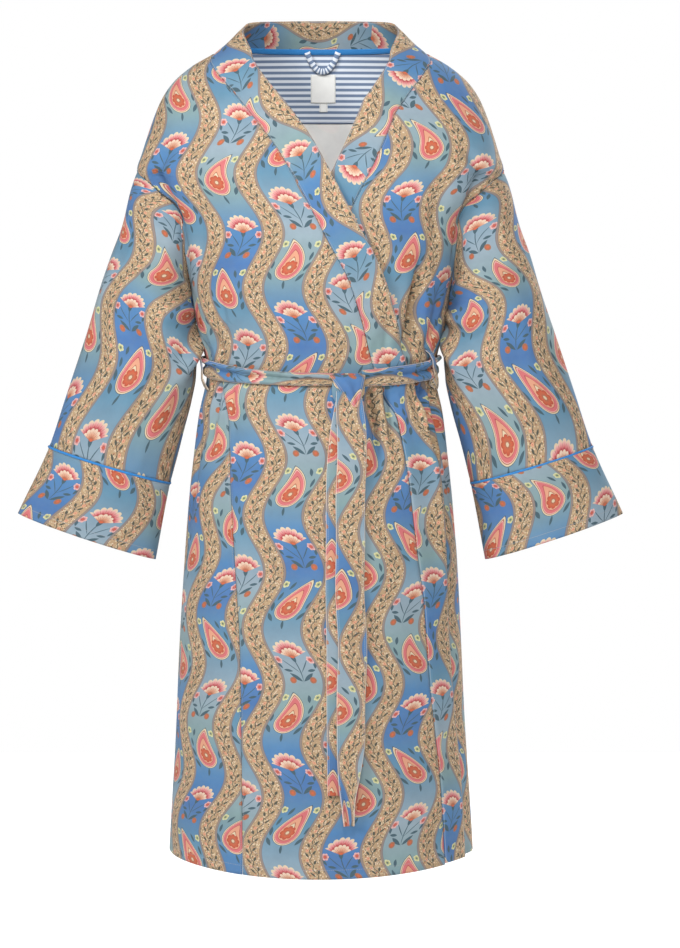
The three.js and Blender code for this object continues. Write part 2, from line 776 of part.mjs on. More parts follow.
// The hanging loop droops between its two ends, which are caught under the tape.
function hangLoopPlaces() {
  const steps = 12;
  const middle = Array.from({ length: steps + 1 }, (_, i) => {
    const t = i / steps;
    const across = mix(LOOP_FROM, LOOP_TO, t);
    const drop = LOOP_DROP * (1 - Math.abs(2 * t - 1) ** 2.2);
    return { across, z: LOOP_TOP - drop, lift: LOOP_LIFT - 3 * Math.sin(Math.PI * t) };
  });
  return middle.map((point, i) => {
    const before = middle[Math.max(0, i - 1)];
    const after = middle[Math.min(steps, i + 1)];
    const length = Math.hypot(after.across - before.across, after.z - before.z);
    const side = [-(after.z - before.z) / length, (after.across - before.across) / length];
    return [-0.5, 0.5].map((share) =>
      insideBack(point.across + side[0] * LOOP_WIDTH * share, point.z + side[1] * LOOP_WIDTH * share, point.lift),
    );
  });
}

// The belt's middle height round the body: it sags at the front.
function beltHeight(angle) {
  return BELT_Z - BELT_SAG * Math.max(0, Math.cos(rad(angle))) ** 1.3;
}

// The belt round the waist from one side of the knot to the other, with a crease along its middle.
function beltPlaces() {
  const columns = 40;
  const z = beltHeight(0);
  const start = angleAcross(KNOT_ACROSS + KNOT_HALF_WIDTH + SEAM_GAP, z);
  const end = 360 + angleAcross(KNOT_ACROSS - KNOT_HALF_WIDTH - SEAM_GAP, z);
  return BELT_PROFILE.map(({ share, lift }) =>
    Array.from({ length: columns + 1 }, (_, c) => {
      const angle = mix(start, end, c / columns);
      return { angle, z: beltHeight(angle) + (share * beltTallness(angle)) / 2, lift };
    }),
  );
}

// A hanging end of the belt, from its tip up to the knot.
function tailPlaces(rows) {
  const columns = 4;
  const [bottom, top] = [rows[0].z, rows.at(-1).z];
  const at = Object.fromEntries(["across", "halfWidth", "lift", "curl"].map((key) => [key, curve(rows, "z", key)]));
  const steps = 14;
  return Array.from({ length: steps + 1 }, (_, r) => {
    const z = mix(bottom, top, r / steps);
    return Array.from({ length: columns + 1 }, (_, c) => {
      const share = (2 * c) / columns - 1;
      const angle = angleAcross(at.across(z) + share * at.halfWidth(z), z);
      return { angle, z, lift: at.lift(z) + at.curl(z) * share * share };
    });
  });
}

// A belt carrier stands out from the side of the body and passes round the belt.
function carrierPlaces(fromAngle, toAngle, width) {
  return CARRIER_PATH.map(({ drop, lift }, i) => {
    const middle = mix(fromAngle, toAngle, i / (CARRIER_PATH.length - 1));
    const z = beltHeight(middle) + drop;
    return [-0.5, 0.5].map((share) => ({ angle: shiftAngle(middle, z, width * share), z, lift }));
  }).reverse();
}

// A closed skin through loops of points, either joined end to end or closed with a cap at each end.
function loopGeometry(loops, isRing) {
  const count = loops[0].length;
  const positions = loops.flat().flatMap((p) => [p.x, p.y, p.z]);
  const index = [];
  const at = (loop, i) => (loop % loops.length) * count + (i % count);
  for (let r = 0; r < loops.length - (isRing ? 0 : 1); r++) {
    for (let i = 0; i < count; i++) {
      index.push(at(r, i), at(r, i + 1), at(r + 1, i + 1), at(r, i), at(r + 1, i + 1), at(r + 1, i));
    }
  }
  if (!isRing) {
    for (const loop of [0, loops.length - 1]) {
      const middle = loops[loop].reduce((sum, p) => sum.add(p), new THREE.Vector3()).divideScalar(count);
      const centre = positions.push(middle.x, middle.y, middle.z) / 3 - 1;
      for (let i = 0; i < count; i++) {
        if (loop === 0) index.push(centre, at(loop, i + 1), at(loop, i));
        else index.push(centre, at(loop, i), at(loop, i + 1));
      }
    }
  }
  return closedSkin(positions, index);
}

// The cord in the seam between a sleeve and its cuff.
function pipingGeometry(sign) {
  const sides = 6;
  const loops = SLEEVE_TURNS.map((turn) => {
    const centre = sleevePoint(sign, turn, CUFF_RING);
    const round = sleevePoint(sign, turn + 2, CUFF_RING).sub(sleevePoint(sign, turn - 2, CUFF_RING)).normalize();
    const down = sleevePoint(sign, turn, CUFF_RING + 0.05).sub(sleevePoint(sign, turn, CUFF_RING - 0.05));
    down.addScaledVector(round, -down.dot(round)).normalize();
    const out = down.clone().cross(round).multiplyScalar(-sign);
    return Array.from({ length: sides }, (_, k) => {
      const a = (2 * Math.PI * k) / sides;
      return centre
        .clone()
        .addScaledVector(out, PIPING_RADIUS * Math.cos(a) - 0.4)
        .addScaledVector(down, -PIPING_RADIUS * Math.sin(a));
    });
  });
  return loopGeometry(loops, true);
}

// The knot is wound cloth all through: flat at the back, full in front, with a flap folded over its top.
function knotGeometry() {
  const sides = 18;
  const loops = KNOT_RINGS.map(({ z, across, halfWidth: wide, depth }) => {
    const angle = angleAcross(KNOT_ACROSS - KNOT_HALF_WIDTH, z);
    const back = form(angle, z).addScaledVector(normalOf(form, angle, z), KNOT_LIFT);
    return Array.from({ length: sides }, (_, i) => {
      const turn = (2 * Math.PI * i) / sides;
      const side = Math.cos(turn);
      const out = Math.sin(turn);
      const x = KNOT_ACROSS + across + wide * Math.sign(side) * Math.abs(side) ** 0.7;
      const y = back.y - (out > 0 ? 2 + (depth - 2) * out ** 0.8 : 2 * (1 - Math.abs(out) ** 0.6));
      return new THREE.Vector3(x, y, z);
    });
  });
  return loopGeometry(loops, false);
}

const materials = Object.fromEntries(
  Object.entries(COLOURS).map(([name, color]) => [
    name,
    new THREE.MeshStandardMaterial({ color, roughness: 0.85, metalness: 0 }),
  ]),
);
const robe = new THREE.Group();
function add(name, geometry, material) {
  const mesh = new THREE.Mesh(geometry, materials[material]);
  mesh.name = name;
  robe.add(mesh);
}

add("back", panelGeometry(backFace, backPlaces(BACK_COLUMNS), CLOTH), "print");
add("front_right", panelGeometry(upper, frontPlaces("right", 13), CLOTH), "print");
add("front_left", panelGeometry(under, frontPlaces("left", 10), CLOTH), "print");
for (const [side, sign] of [["right", -1], ["left", 1]]) {
  add(`sleeve_${side}`, sleeveGeometry(sign, 0.02, CUFF_RING - SEAM_RINGS, 8), "print");
  add(`cuff_${side}`, sleeveGeometry(sign, CUFF_RING + SEAM_RINGS, 8, 2), "print");
  add(`cuff_piping_${side}`, pipingGeometry(sign), "piping");
}
add("neckband_right", panelGeometry(upper, frontBandPlaces("right"), BAND_CLOTH), "print");
add("neckband_left", panelGeometry(under, frontBandPlaces("left"), BAND_CLOTH), "print");
const backBand = backBandPlaces();
add("neckband_back", panelGeometry(form, backBand.map((row) => row.slice().reverse()), BAND_CLOTH), "print");
const tape = backBand.map((row) =>
  [-0.05, 0.13].map((share) => ({
    angle: mix(row.at(-1).angle, row[0].angle, share),
    z: mix(row.at(-1).z, row[0].z, share),
    lift: PATCH_LIFT,
  })),
);
add("neck_tape", panelGeometry(form, tape, 1), "piping");
add("neck_facing", panelGeometry(form, facingPlaces(), FACING_CLOTH), "stripe");
add("label", panelGeometry(form, patchPlaces(-14, 20, -62, -24, 4, 3), LABEL_CLOTH), "label");
add("size_tab", panelGeometry(form, patchPlaces(-2, 9, -74, -62.3, 2, 1), LABEL_CLOTH), "label");
add("hang_loop", panelGeometry(form, hangLoopPlaces(), 1.4), "stripe");
add("belt_waist", panelGeometry(form, beltPlaces(), BELT_CLOTH), "print");
add("belt_knot", knotGeometry(), "print");
add("belt_tail_front", panelGeometry(form, tailPlaces(TAIL_FRONT), TAIL_CLOTH), "print");
add("belt_tail_back", panelGeometry(form, tailPlaces(TAIL_BACK), TAIL_CLOTH), "print");
add("belt_loop_right", panelGeometry(upper, carrierPlaces(-84, -86, 8), 1.5), "print");
add("belt_loop_left", panelGeometry(upper, carrierPlaces(62, 76, 8), 1.5), "print");

export default robe;
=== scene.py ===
import math

import bmesh
import bpy
import numpy as np
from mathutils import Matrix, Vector


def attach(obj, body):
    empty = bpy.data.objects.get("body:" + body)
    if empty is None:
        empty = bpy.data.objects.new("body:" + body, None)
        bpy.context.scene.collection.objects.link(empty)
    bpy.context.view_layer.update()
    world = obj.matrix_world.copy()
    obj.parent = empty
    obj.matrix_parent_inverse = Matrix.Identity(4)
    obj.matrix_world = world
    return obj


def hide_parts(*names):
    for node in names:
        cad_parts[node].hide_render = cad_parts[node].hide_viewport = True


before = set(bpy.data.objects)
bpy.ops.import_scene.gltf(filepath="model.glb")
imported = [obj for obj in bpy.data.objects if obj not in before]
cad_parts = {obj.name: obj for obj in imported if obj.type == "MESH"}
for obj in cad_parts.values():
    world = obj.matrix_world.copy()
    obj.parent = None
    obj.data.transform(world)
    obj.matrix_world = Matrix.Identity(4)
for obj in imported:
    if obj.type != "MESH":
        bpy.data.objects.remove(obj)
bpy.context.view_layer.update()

# Sizes of the robe, in millimetres
HEM_Z = -1085
CLOTH = 1.2
BAND_WIDTH = 45
BAND_CLOTH = 2.2
OVERLAP_DROP = 5.4
SHOULDER_END_Z = -158
UNDERARM_Z = -362
WAIST_Z = -424
BELT_Z = -418
BELT_SAG = 17
HEM_RISE = 13
SEAM_WIDTH = 2.4
SEAM_DIP = 0.9
CUFF_RING = 7
SEAM_RINGS = 0.016
SLEEVE_BLEND_RINGS = 2.6
SLEEVE_TIP = 1.2
OUTER_ARM = 390
INNER_ARM = 218
ARMHOLE_GAP = 0.1
PIPING_RADIUS = 1.7
KNOT_ACROSS = 36
KNOT_HALF_WIDTH = 21

FACING_DROP = 93
FACING_LIFT = -1.9
LABEL_LIFT = -3.2
LOOP_FROM = -19
LOOP_TO = 24
LOOP_TOP = 6
LOOP_DROP = 25
LOOP_WIDTH = 7
FLAP_GRAIN = (8, 515)

# How far the cuffs reach down the arm, outside and inside
OUTER_CUFF = 99
INNER_CUFF = 105
CUFF_RING_LENGTH = 104
FIRST_RING_LENGTH = 45

KNOT_Z = -449
KNOT_HALF_HEIGHT = 22
KNOT_TUCK = 3
FLAP_HALF_WIDTHS = (2.5, 24.5)
BELT_WIDTH = 36
TAIL_WIDTH = 37
TAPE_WIDTH = 8
LOOP_LENGTH = 84
FACING_REACH = 79
FACING_END = 8

# Where the print starts on each panel, and the line that its grain follows
GRAIN = {"right": -8.0, "left": 30.0}
PRINT_SHIFT = {"right": (-31, -14), "left": (31, 14), "back": (62, -33)}
GRAIN_STRETCH = 1.02
PANEL_GAP = 0.15

# In an edge map, a place that is nowhere near a line of stitches
FAR = 500

MM = 0.001


def table(columns, rows):
    """Short tables with named columns, as arrays."""
    return {name: np.array([row[i] for row in rows], dtype=float) for i, name in enumerate(columns)}


SECTIONS = table(
    ["z", "half_width", "front", "back", "square"],
    [
        [HEM_Z, 206, 151, 155, 2.1],
        [-921, 196.5, 145, 148, 2.1],
        [-745, 188, 138, 142, 2.1],
        [-600, 178, 128, 132, 2.15],
        [-543, 172, 120, 122, 2.15],
        [-480, 164, 109, 106, 2.2],
        [-450, 157, 103, 97, 2.2],
        [WAIST_Z, 152, 99, 92, 2.2],
        [-401, 157, 103, 95, 2.2],
        [UNDERARM_Z, 167, 110, 101, 2.3],
        [-310, 175, 118, 109, 2.3],
        [-262, 186, 119, 112, 2.3],
        [-232, 195, 117, 113, 2.35],
        [-205, 213, 115, 112, 2.4],
        [-180, 233, 112, 111, 2.4],
        [SHOULDER_END_Z, 245, 108, 110, 2.4],
        [-138, 239, 104, 108, 2.35],
        [-107, 229, 96, 104, 2.3],
        [-85, 221, 90, 100, 2.2],
        [-63, 211, 82, 96, 2.15],
        [-42, 196, 73, 91, 2.1],
        [-20, 169.5, 63, 85, 2.05],
        [0, 135, 52, 79, 2],
        [12, 121, 42, 75, 2],
        [23, 110, 31, 70, 2],
        [34, 98, 18, 65, 2],
        [46, 88, 8, 60, 2],
        [58, 78, 6, 54, 2],
    ],
)

# Free edges of the two fronts, across at each height
FREE_EDGES = table(
    ["z", "right", "left"],
    [
        [HEM_Z, 193, -84],
        [-965, 186, -84],
        [-822, 174, -85],
        [-728, 168, -86],
        [-655, 160, -87],
        [-563, 151, -88],
        [-501, 142, -87],
        [-471, 137, -86],
        [-450, 128, -85],
        [WAIST_Z, 117, -84],
        [-399, 109, -80],
        [-372, 103, -74],
        [-339, 95, -65],
        [-283, 76, -44],
        [-235, 50, -18],
        [-200, 32, -2],
        [-164, 13, 15],
        [-120, -11, 36],
        [-97, -27, 46],
        [-69, -48, 57],
        [-26, -74, 78],
        [3, -87, 88],
    ],
)

SIDE_SEAM = table(
    ["z", "across"],
    [
        [HEM_Z, 102],
        [-930, 103],
        [-783, 106],
        [-680, 112],
        [-569, 118],
        [-501, 121],
        [-462, 127],
        [WAIST_Z, 138],
        [-401, 150],
        [-385, 158.5],
        [-372, 164],
        [UNDERARM_Z, 167],
    ],
)

ARMHOLE = table(
    ["z", "angle"],
    [
        [UNDERARM_Z, 90],
        [-310, 84],
        [-262, 75],
        [-232, 69],
        [-205, 66],
        [-186, 67.5],
        [-172, 74],
        [-164, 82],
        [SHOULDER_END_Z, 90],
    ],
)

SLEEVE_RINGS = table(
    ["ring", "outer_x", "outer_z", "inner_x", "inner_z", "depth"],
    [
        [0, 245, SHOULDER_END_Z, 167, UNDERARM_Z, 58],
        [1, 254, -187, 166, -377, 60],
        [2, 266, -232, 165.5, -396, 61],
        [3, 281, -275, 166.5, -417, 60],
        [4, 298, -327, 168, -438, 58],
        [5, 318, -390, 174, -468, 55],
        [6, 342, -460, 187, -517, 51],
        [7, 365, -528, 203, -577, 47],
        [8, 407, -618, 222, -680, 43],
    ],
)

CARRIER_PATH = table(
    ["drop", "lift"],
    [
        [27, 2.6],
        [23, 5.5],
        [14, 9.4],
        [2, 10.6],
        [-10, 10.4],
        [-20, 8.8],
        [-26, 5.5],
        [-30, 1.9],
    ],
)

FOLD_COLUMNS = ["from_angle", "from_z", "to_angle", "to_z", "depth", "width", "peak"]

# Main folds, also in the solids: angles go round the body, 0 in front and + to the wearer's left
MAIN_FOLDS = [
    [25, -450, 27, -570, 7, 9, 0.25],
    [34, -452, 34, -545, 4, 7, 0.3],
    [4, -456, 1, -560, 3, 9, 0.3],
    [47, -442, 56, -540, 7, 8, 0.3],
    [57, -440, 68, -600, 9, 9, 0.3],
    [69, -438, 84, -660, 10, 11, 0.35],
    [-60, -440, -55, -560, 6, 8, 0.3],
    [-74, -438, -71, -640, 8, 10, 0.3],
    [93, -435, 99, -700, 11, 13, 0.3],
    [110, -435, 115, -780, 12, 14, 0.3],
    [126, -435, 131, -640, 9, 12, 0.3],
    [142, -435, 145, -860, 13, 15, 0.3],
    [158, -435, 160, -690, 9, 12, 0.3],
    [173, -435, 173, -800, 12, 15, 0.3],
    [189, -435, 188, -660, 9, 12, 0.3],
    [204, -435, 202, -880, 13, 15, 0.3],
    [220, -435, 216, -680, 10, 13, 0.3],
    [236, -435, 231, -790, 12, 14, 0.3],
    [252, -435, 247, -640, 10, 13, 0.3],
    [268, -435, 264, -720, 9, 12, 0.3],
    [46, -405, 45, -270, 12, 10, 0.3],
    [60, -407, 62, -300, 6, 9, 0.3],
    [-58, -408, -60, -350, 4, 7, 0.35],
    [-70, -407, -76, -310, 7, 9, 0.35],
    [104, -405, 103, -270, 8, 12, 0.3],
    [121, -405, 119, -330, 6, 11, 0.3],
    [138, -405, 139, -240, 9, 13, 0.3],
    [155, -405, 157, -320, 6, 11, 0.3],
    [172, -405, 172, -250, 8, 13, 0.3],
    [190, -405, 189, -330, 6, 11, 0.3],
    [207, -405, 205, -240, 9, 13, 0.3],
    [224, -405, 226, -320, 6, 11, 0.3],
    [242, -405, 243, -270, 8, 12, 0.3],
    [68, -236, 47, -118, 11, 11, 0.35],
    [-68, -236, -50, -118, 11, 11, 0.35],
    [112, -236, 131, -112, 10, 12, 0.35],
    [248, -236, 229, -112, 10, 12, 0.35],
]

# Creases that only the cloth has
FINE_FOLDS = [
    [14, -453, 13, -640, 2.2, 8, 0.3],
    [-12, -457, -14, -700, 1.8, 10, 0.3],
    [-28, -455, -27, -600, 2.2, 8, 0.3],
    [-43, -451, -40, -560, 2.4, 7, 0.3],
    [-50, -449, -46, -690, 2, 9, 0.3],
    [41, -447, 45, -520, 3, 5, 0.3],
    [52, -443, 62, -520, 3.5, 5, 0.3],
    [63, -441, 74, -560, 3.5, 5, 0.3],
    [10, -414, 20, -330, 2, 8, 0.35],
    [26, -412, 36, -300, 2.4, 8, 0.35],
    [-8, -416, -4, -340, 1.6, 8, 0.35],
    [-24, -414, -22, -350, 2.2, 7, 0.35],
    [-40, -412, -42, -340, 2.6, 7, 0.35],
    [-50, -410, -54, -330, 2.4, 6, 0.35],
    [38, -406, 52, -220, 3, 8, 0.4],
    [56, -300, 40, -170, 3, 10, 0.5],
    [-60, -330, -48, -190, 2.6, 11, 0.5],
    [-54, -270, -34, -130, 2.4, 12, 0.5],
    [50, -260, 30, -120, 2.4, 12, 0.5],
    [-74, -300, -62, -200, 3, 8, 0.5],
    [74, -300, 62, -200, 3, 8, 0.5],
    [104, -441, 106, -560, 3, 6, 0.3],
    [118, -441, 122, -600, 3, 7, 0.3],
    [134, -441, 137, -560, 3, 6, 0.3],
    [150, -441, 152, -620, 3, 7, 0.3],
    [166, -441, 166, -570, 3, 6, 0.3],
    [181, -441, 180, -640, 3, 7, 0.3],
    [196, -441, 195, -560, 3, 6, 0.3],
    [212, -441, 209, -600, 3, 7, 0.3],
    [228, -441, 223, -570, 3, 6, 0.3],
    [244, -441, 239, -590, 3, 7, 0.3],
    [112, -406, 110, -300, 2.6, 6, 0.3],
    [130, -406, 129, -330, 2.4, 6, 0.3],
    [147, -406, 149, -300, 2.6, 6, 0.3],
    [164, -406, 165, -340, 2.4, 6, 0.3],
    [181, -406, 181, -300, 2.6, 6, 0.3],
    [199, -406, 197, -330, 2.4, 6, 0.3],
    [216, -406, 216, -300, 2.6, 6, 0.3],
    [233, -406, 234, -330, 2.4, 6, 0.3],
    [24, -444, 27, -565, 13, 4.5, 0.22],
    [33, -446, 34, -530, 12, 4.2, 0.22],
    [37, -446, 38, -500, 3.5, 5, 0.3],
    [55, -436, 58, -545, 15, 3.6, 0.22],
    [61, -434, 66, -590, 16, 4, 0.22],
    [69, -432, 77, -620, 15, 4.4, 0.22],
    [45, -400, 44, -262, 11, 3.6, 0.4],
    [-45, -402, -46, -330, 5, 4, 0.4],
    [-46, -444, -45, -500, 5, 4, 0.3],
    [-66, -408, -70, -355, 9, 4, 0.35],
    [-54, -408, -56, -365, 8, 4, 0.35],
    [-57, -436, -55, -500, 10, 4, 0.25],
    [-67, -434, -65, -530, 9, 4.5, 0.25],
    [32, -412, 31, -340, 3.5, 4, 0.4],
    [62, -392, 74, -330, 4, 6, 0.4],
    [150, -60, 120, -210, 3, 14, 0.6],
    [210, -60, 240, -210, 3, 14, 0.6],
    [170, -150, 130, -260, 2, 14, 0.5],
    [190, -150, 230, -260, 2, 14, 0.5],
    [-40, -900, -38, -1085.5, 2.6, 18, 0.9],
    [8, -860, 10, -1085.5, 2.2, 22, 0.9],
    [44, -880, 46, -1085.5, 3, 16, 0.9],
    [98, -800, 100, -1085.5, 4, 18, 0.85],
    [128, -820, 130, -1085.5, 3.6, 18, 0.85],
    [160, -780, 160, -1085.5, 4.4, 20, 0.85],
    [196, -800, 196, -1085.5, 4, 20, 0.85],
    [226, -820, 224, -1085.5, 3.6, 18, 0.85],
    [258, -800, 256, -1085.5, 4, 18, 0.85],
]

FOLDS = table(FOLD_COLUMNS, MAIN_FOLDS)
CREASES = table(FOLD_COLUMNS, FINE_FOLDS)

# Folds of a sleeve: turns are 0 outside, 90 in front, 180 inside, -90 behind
SLEEVE_FOLDS = table(
    ["from_turn", "from_ring", "to_turn", "to_ring", "depth", "width"],
    [
        [150, 0.1, 96, 3.4, 10, 12],
        [128, 0.2, 60, 2.6, 7, 12],
        [168, 0.4, 132, 4.8, 15, 15],
        [66, 0.2, 36, 3.2, 3, 13],
        [110, 2.6, 84, 6.9, 3.4, 13],
        [60, 3.4, 72, 6.6, 2.6, 14],
        [142, 3.8, 120, 6.9, 3, 12],
        [28, 1.4, 24, 5.6, 2.4, 12],
        [-150, 0.1, -98, 3.2, 7, 12],
        [-126, 0.3, -64, 2.8, 5, 12],
        [-166, 0.6, -128, 4.4, 10, 14],
        [-60, 0.3, -40, 3.4, 3, 13],
        [-104, 2.8, -88, 6.8, 3.6, 13],
        [-64, 3.2, -76, 6.5, 2.8, 14],
        [-140, 4, -118, 6.9, 3, 12],
    ],
)


def curve(xs, ys):
    """A smooth curve through rising points that never overshoots them."""
    xs = np.asarray(xs, dtype=float)
    ys = np.asarray(ys, dtype=float)
    steps = np.diff(ys) / np.diff(xs)
    slopes = np.zeros(len(xs))
    slopes[0], slopes[-1] = steps[0], steps[-1]
    for i in range(1, len(xs) - 1):
        if steps[i - 1] * steps[i] > 0:
            slopes[i] = 2 * steps[i - 1] * steps[i] / (steps[i - 1] + steps[i])

    def at(x):
        x = np.clip(x, xs[0], xs[-1])
        i = np.clip(np.searchsorted(xs, x) - 1, 0, len(xs) - 2)
        span = xs[i + 1] - xs[i]
        t = (x - xs[i]) / span
        rise = ys[i + 1] - ys[i]
        bend = slopes[i] * t * (1 - t) ** 2 - slopes[i + 1] * t * t * (1 - t)
        return ys[i] + rise * t * t * (3 - 2 * t) + span * bend

    return at


def mix(a, b, t):
    return a + (b - a) * t


def arrays(*values):
    return np.broadcast_arrays(*(np.asarray(value, dtype=float) for value in values))


def pair(a, b):
    """Two measures side by side, as a UV map takes them."""
    return np.stack(np.broadcast_arrays(a, b), axis=-1)


def smooth(x, low, high):
    t = np.clip((x - low) / (high - low), 0, 1)
    return t * t * (3 - 2 * t)


half_width = curve(SECTIONS["z"], SECTIONS["half_width"])
front_depth = curve(SECTIONS["z"], SECTIONS["front"])
back_depth = curve(SECTIONS["z"], SECTIONS["back"])
squareness = curve(SECTIONS["z"], SECTIONS["square"])
armhole_angle = curve(ARMHOLE["z"], ARMHOLE["angle"])
side_seam_across = curve(SIDE_SEAM["z"], SIDE_SEAM["across"])
edge_across = {side: curve(FREE_EDGES["z"], FREE_EDGES[side]) for side in ("right", "left")}


def form(angle, z):
    """The plain form of the body: a squared ellipse at each height."""
    angle, z = arrays(angle, z)
    across = np.sin(np.radians(angle))
    along = np.cos(np.radians(angle))
    power = squareness(z)
    swell = (np.abs(across) ** power + np.abs(along) ** power) ** (-1 / power)
    depth = np.where(along > 0, front_depth(z), back_depth(z))
    rise = HEM_RISE * across * across * smooth(-z, 850, -HEM_Z)
    return np.stack([half_width(z) * across * swell, -depth * along * swell, z + rise], axis=-1)


def unit(v):
    return v / np.maximum(np.linalg.norm(v, axis=-1, keepdims=True), 1e-9)


def normal_of(surface, angle, z):
    round_body = surface(angle + 0.2, z) - surface(angle - 0.2, z)
    up = surface(angle, z + 0.5) - surface(angle, z - 0.5)
    return unit(np.cross(round_body, up))


def raised(surface, angle, z, lift):
    """Places that stand off a surface, the way the plain form faces."""
    return surface(angle, z) + normal_of(form, angle, z) * np.asarray(lift)[..., None]


def angle_across(across, z):
    """The angle on the front of the form at which it is so far across."""
    power = squareness(z)
    share = np.clip(across / half_width(z), -1, 1)
    return np.degrees(np.arctan2(share, (1 - np.abs(share) ** power) ** (1 / power)))


def fold_depth(folds, angle, z):
    turn = np.mod(angle, 360)
    radius = (half_width(z) + back_depth(z)) / 2
    depth = np.zeros(np.broadcast(angle, z).shape)
    for k in range(len(folds["depth"])):
        s = (z - folds["from_z"][k]) / (folds["to_z"][k] - folds["from_z"][k])
        inside = (s > 0) & (s < 1)
        s = np.clip(s, 1e-6, 1 - 1e-6)
        middle = mix(folds["from_angle"][k], folds["to_angle"][k], s)
        away = np.mod(turn - middle + 540, 360) - 180
        bend = s ** (math.log(0.5) / math.log(folds["peak"][k]))
        trough = np.exp(-((np.radians(away) * radius / folds["width"][k]) ** 2))
        depth += np.where(inside, folds["depth"][k] * np.sin(math.pi * bend) * trough, 0)
    return depth


def ripple(a, b, seed):
    """Slow uneven waves, between -1 and 1, over two measures in millimetres."""
    total = np.zeros(np.broadcast(a, b).shape)
    for k in range(5):
        turn = 1.7 * seed + 2.39 * k
        wave = 210 / (1 + 0.55 * k)
        phase = (a * math.cos(turn) + b * math.sin(turn)) * 2 * math.pi / wave
        total += np.sin(phase + 3.1 * k + seed) / (1.6 + k)
    return total / 1.7


def free_edge_angle(side, z):
    return angle_across(edge_across[side](z), z)


def under_drop(angle, z):
    edge = free_edge_angle("right", z)
    return OVERLAP_DROP * (1 - smooth(angle, edge + 2, edge + 13))


def upper(angle, z):
    """The upper layer, with its creases and slow waves."""
    angle, z = arrays(angle, z)
    depth = fold_depth(FOLDS, angle, z) + fold_depth(CREASES, angle, z)
    calm = smooth(z, -15, -60)
    depth = depth + calm * 1.1 * (ripple(angle * 2.6, z * 0.45, 1.3) + 0.4)
    return raised(form, angle, z, -depth)


def under(angle, z):
    angle, z = arrays(angle, z)
    return raised(upper, angle, z, -under_drop(angle, z))


def back_face(angle, z):
    """Under the right front on the left side, and uncovered elsewhere."""
    angle, z = arrays(angle, z)
    drop = np.where(angle < 150, under_drop(angle, z), 0)
    return raised(upper, angle, z, -drop)


def shift_angle(angle, z, distance):
    reach = np.linalg.norm(form(angle + 0.5, z) - form(angle - 0.5, z), axis=-1)
    return angle + distance / reach


def walk(angle, z, direction, distance):
    """Steps over the form from places in given directions."""
    round_body = (form(angle + 0.1, z) - form(angle - 0.1, z)) / 0.2
    up = (form(angle, z + 0.2) - form(angle, z - 0.2)) / 0.4
    rr = np.sum(round_body * round_body, axis=-1)
    ru = np.sum(round_body * up, axis=-1)
    uu = np.sum(up * up, axis=-1)
    dr = np.sum(direction * round_body, axis=-1)
    du = np.sum(direction * up, axis=-1)
    scale = distance / (rr * uu - ru * ru)
    return angle + scale * (dr * uu - du * ru), z + scale * (du * rr - dr * ru)


def free_edge_path():
    """The band's free edge, from the right hem round the back of the neck to the left hem."""
    front_steps, back_steps = 60, 24
    top_z = FREE_EDGES["z"][-1]
    t = np.arange(front_steps + 1) / front_steps
    levels = HEM_Z + (top_z - HEM_Z) * (1 - (1 - t) ** 1.25)
    right = np.stack([free_edge_angle("right", levels), levels], axis=-1)
    left = np.stack([free_edge_angle("left", levels) - 360, levels], axis=-1)[::-1]
    t = np.arange(1, back_steps) / back_steps
    rise = np.minimum(1, np.sin(math.pi * t) * 1.9)
    top = mix(38.0, 46.0, np.sin(math.pi * t) ** 4)
    around = mix(right[-1, 0], left[0, 0], t)
    back = np.stack([around, mix(top_z, top, np.sin(rise * math.pi / 2))], axis=-1)
    return np.concatenate([right, back, left]), len(right), len(right) + len(back)


def band_grid(columns=6):
    """Places across the band at each step of its free edge, from that edge to the seam."""
    path, right_count, left_start = free_edge_path()
    angle, z = path[:, 0].copy(), path[:, 1].copy()
    before = np.maximum(np.arange(len(path)) - 1, 0)
    after = np.minimum(np.arange(len(path)) + 1, len(path) - 1)
    along = unit(form(angle[after], z[after]) - form(angle[before], z[before]))
    heading = np.cross(normal_of(form, angle, z), along)
    rows = [np.stack([angle, z], axis=-1)]
    for _ in range(columns):
        normal = normal_of(form, angle, z)
        heading = unit(heading - normal * np.sum(heading * normal, axis=-1, keepdims=True))
        angle, z = walk(angle, z, heading, BAND_WIDTH / columns)
        rows.append(np.stack([angle, np.maximum(z, HEM_Z)], axis=-1))
    grid = np.stack(rows, axis=1)
    for _ in range(10):
        eased = grid.copy()
        eased[right_count - 7 : left_start + 7] = (
            grid[right_count - 7 : left_start + 7] / 2
            + (grid[right_count - 8 : left_start + 6] + grid[right_count - 6 : left_start + 8]) / 4
        )
        grid = eased
    return grid


BAND = band_grid()
SEAM = BAND[:, -1]
MIDDLE = len(SEAM) // 2


def band_at(number, share):
    """Places at broken row numbers and shares across, 0 at the free edge and 1 at the seam."""
    number, share = arrays(number, share)
    i = np.clip(np.floor(number).astype(int), 0, len(BAND) - 2)
    t = number - i
    position = np.clip(share, 0, 1) * (BAND.shape[1] - 1)
    j = np.clip(np.floor(position).astype(int), 0, BAND.shape[1] - 2)
    w = position - j
    value = 0
    for di, wi in ((0, 1 - t), (1, t)):
        for dj, wj in ((0, 1 - w), (1, w)):
            value = value + BAND[i + di, j + dj] * (wi * wj)[..., None]
    return value[..., 0], value[..., 1]


def rising(values):
    return np.maximum.accumulate(values + np.arange(len(values)) * 1e-6)


RIGHT_SEAM = rising(SEAM[:MIDDLE, 1])
LEFT_SEAM = rising(SEAM[::-1][:MIDDLE, 1])


def band_number(side, z):
    if side == "right":
        return np.interp(z, RIGHT_SEAM, np.arange(MIDDLE))
    return len(SEAM) - 1 - np.interp(z, LEFT_SEAM, np.arange(MIDDLE))


def band_seam_angle(side, z):
    angle, _ = band_at(band_number(side, z), 1.0)
    return angle + (360 if side == "left" else 0)


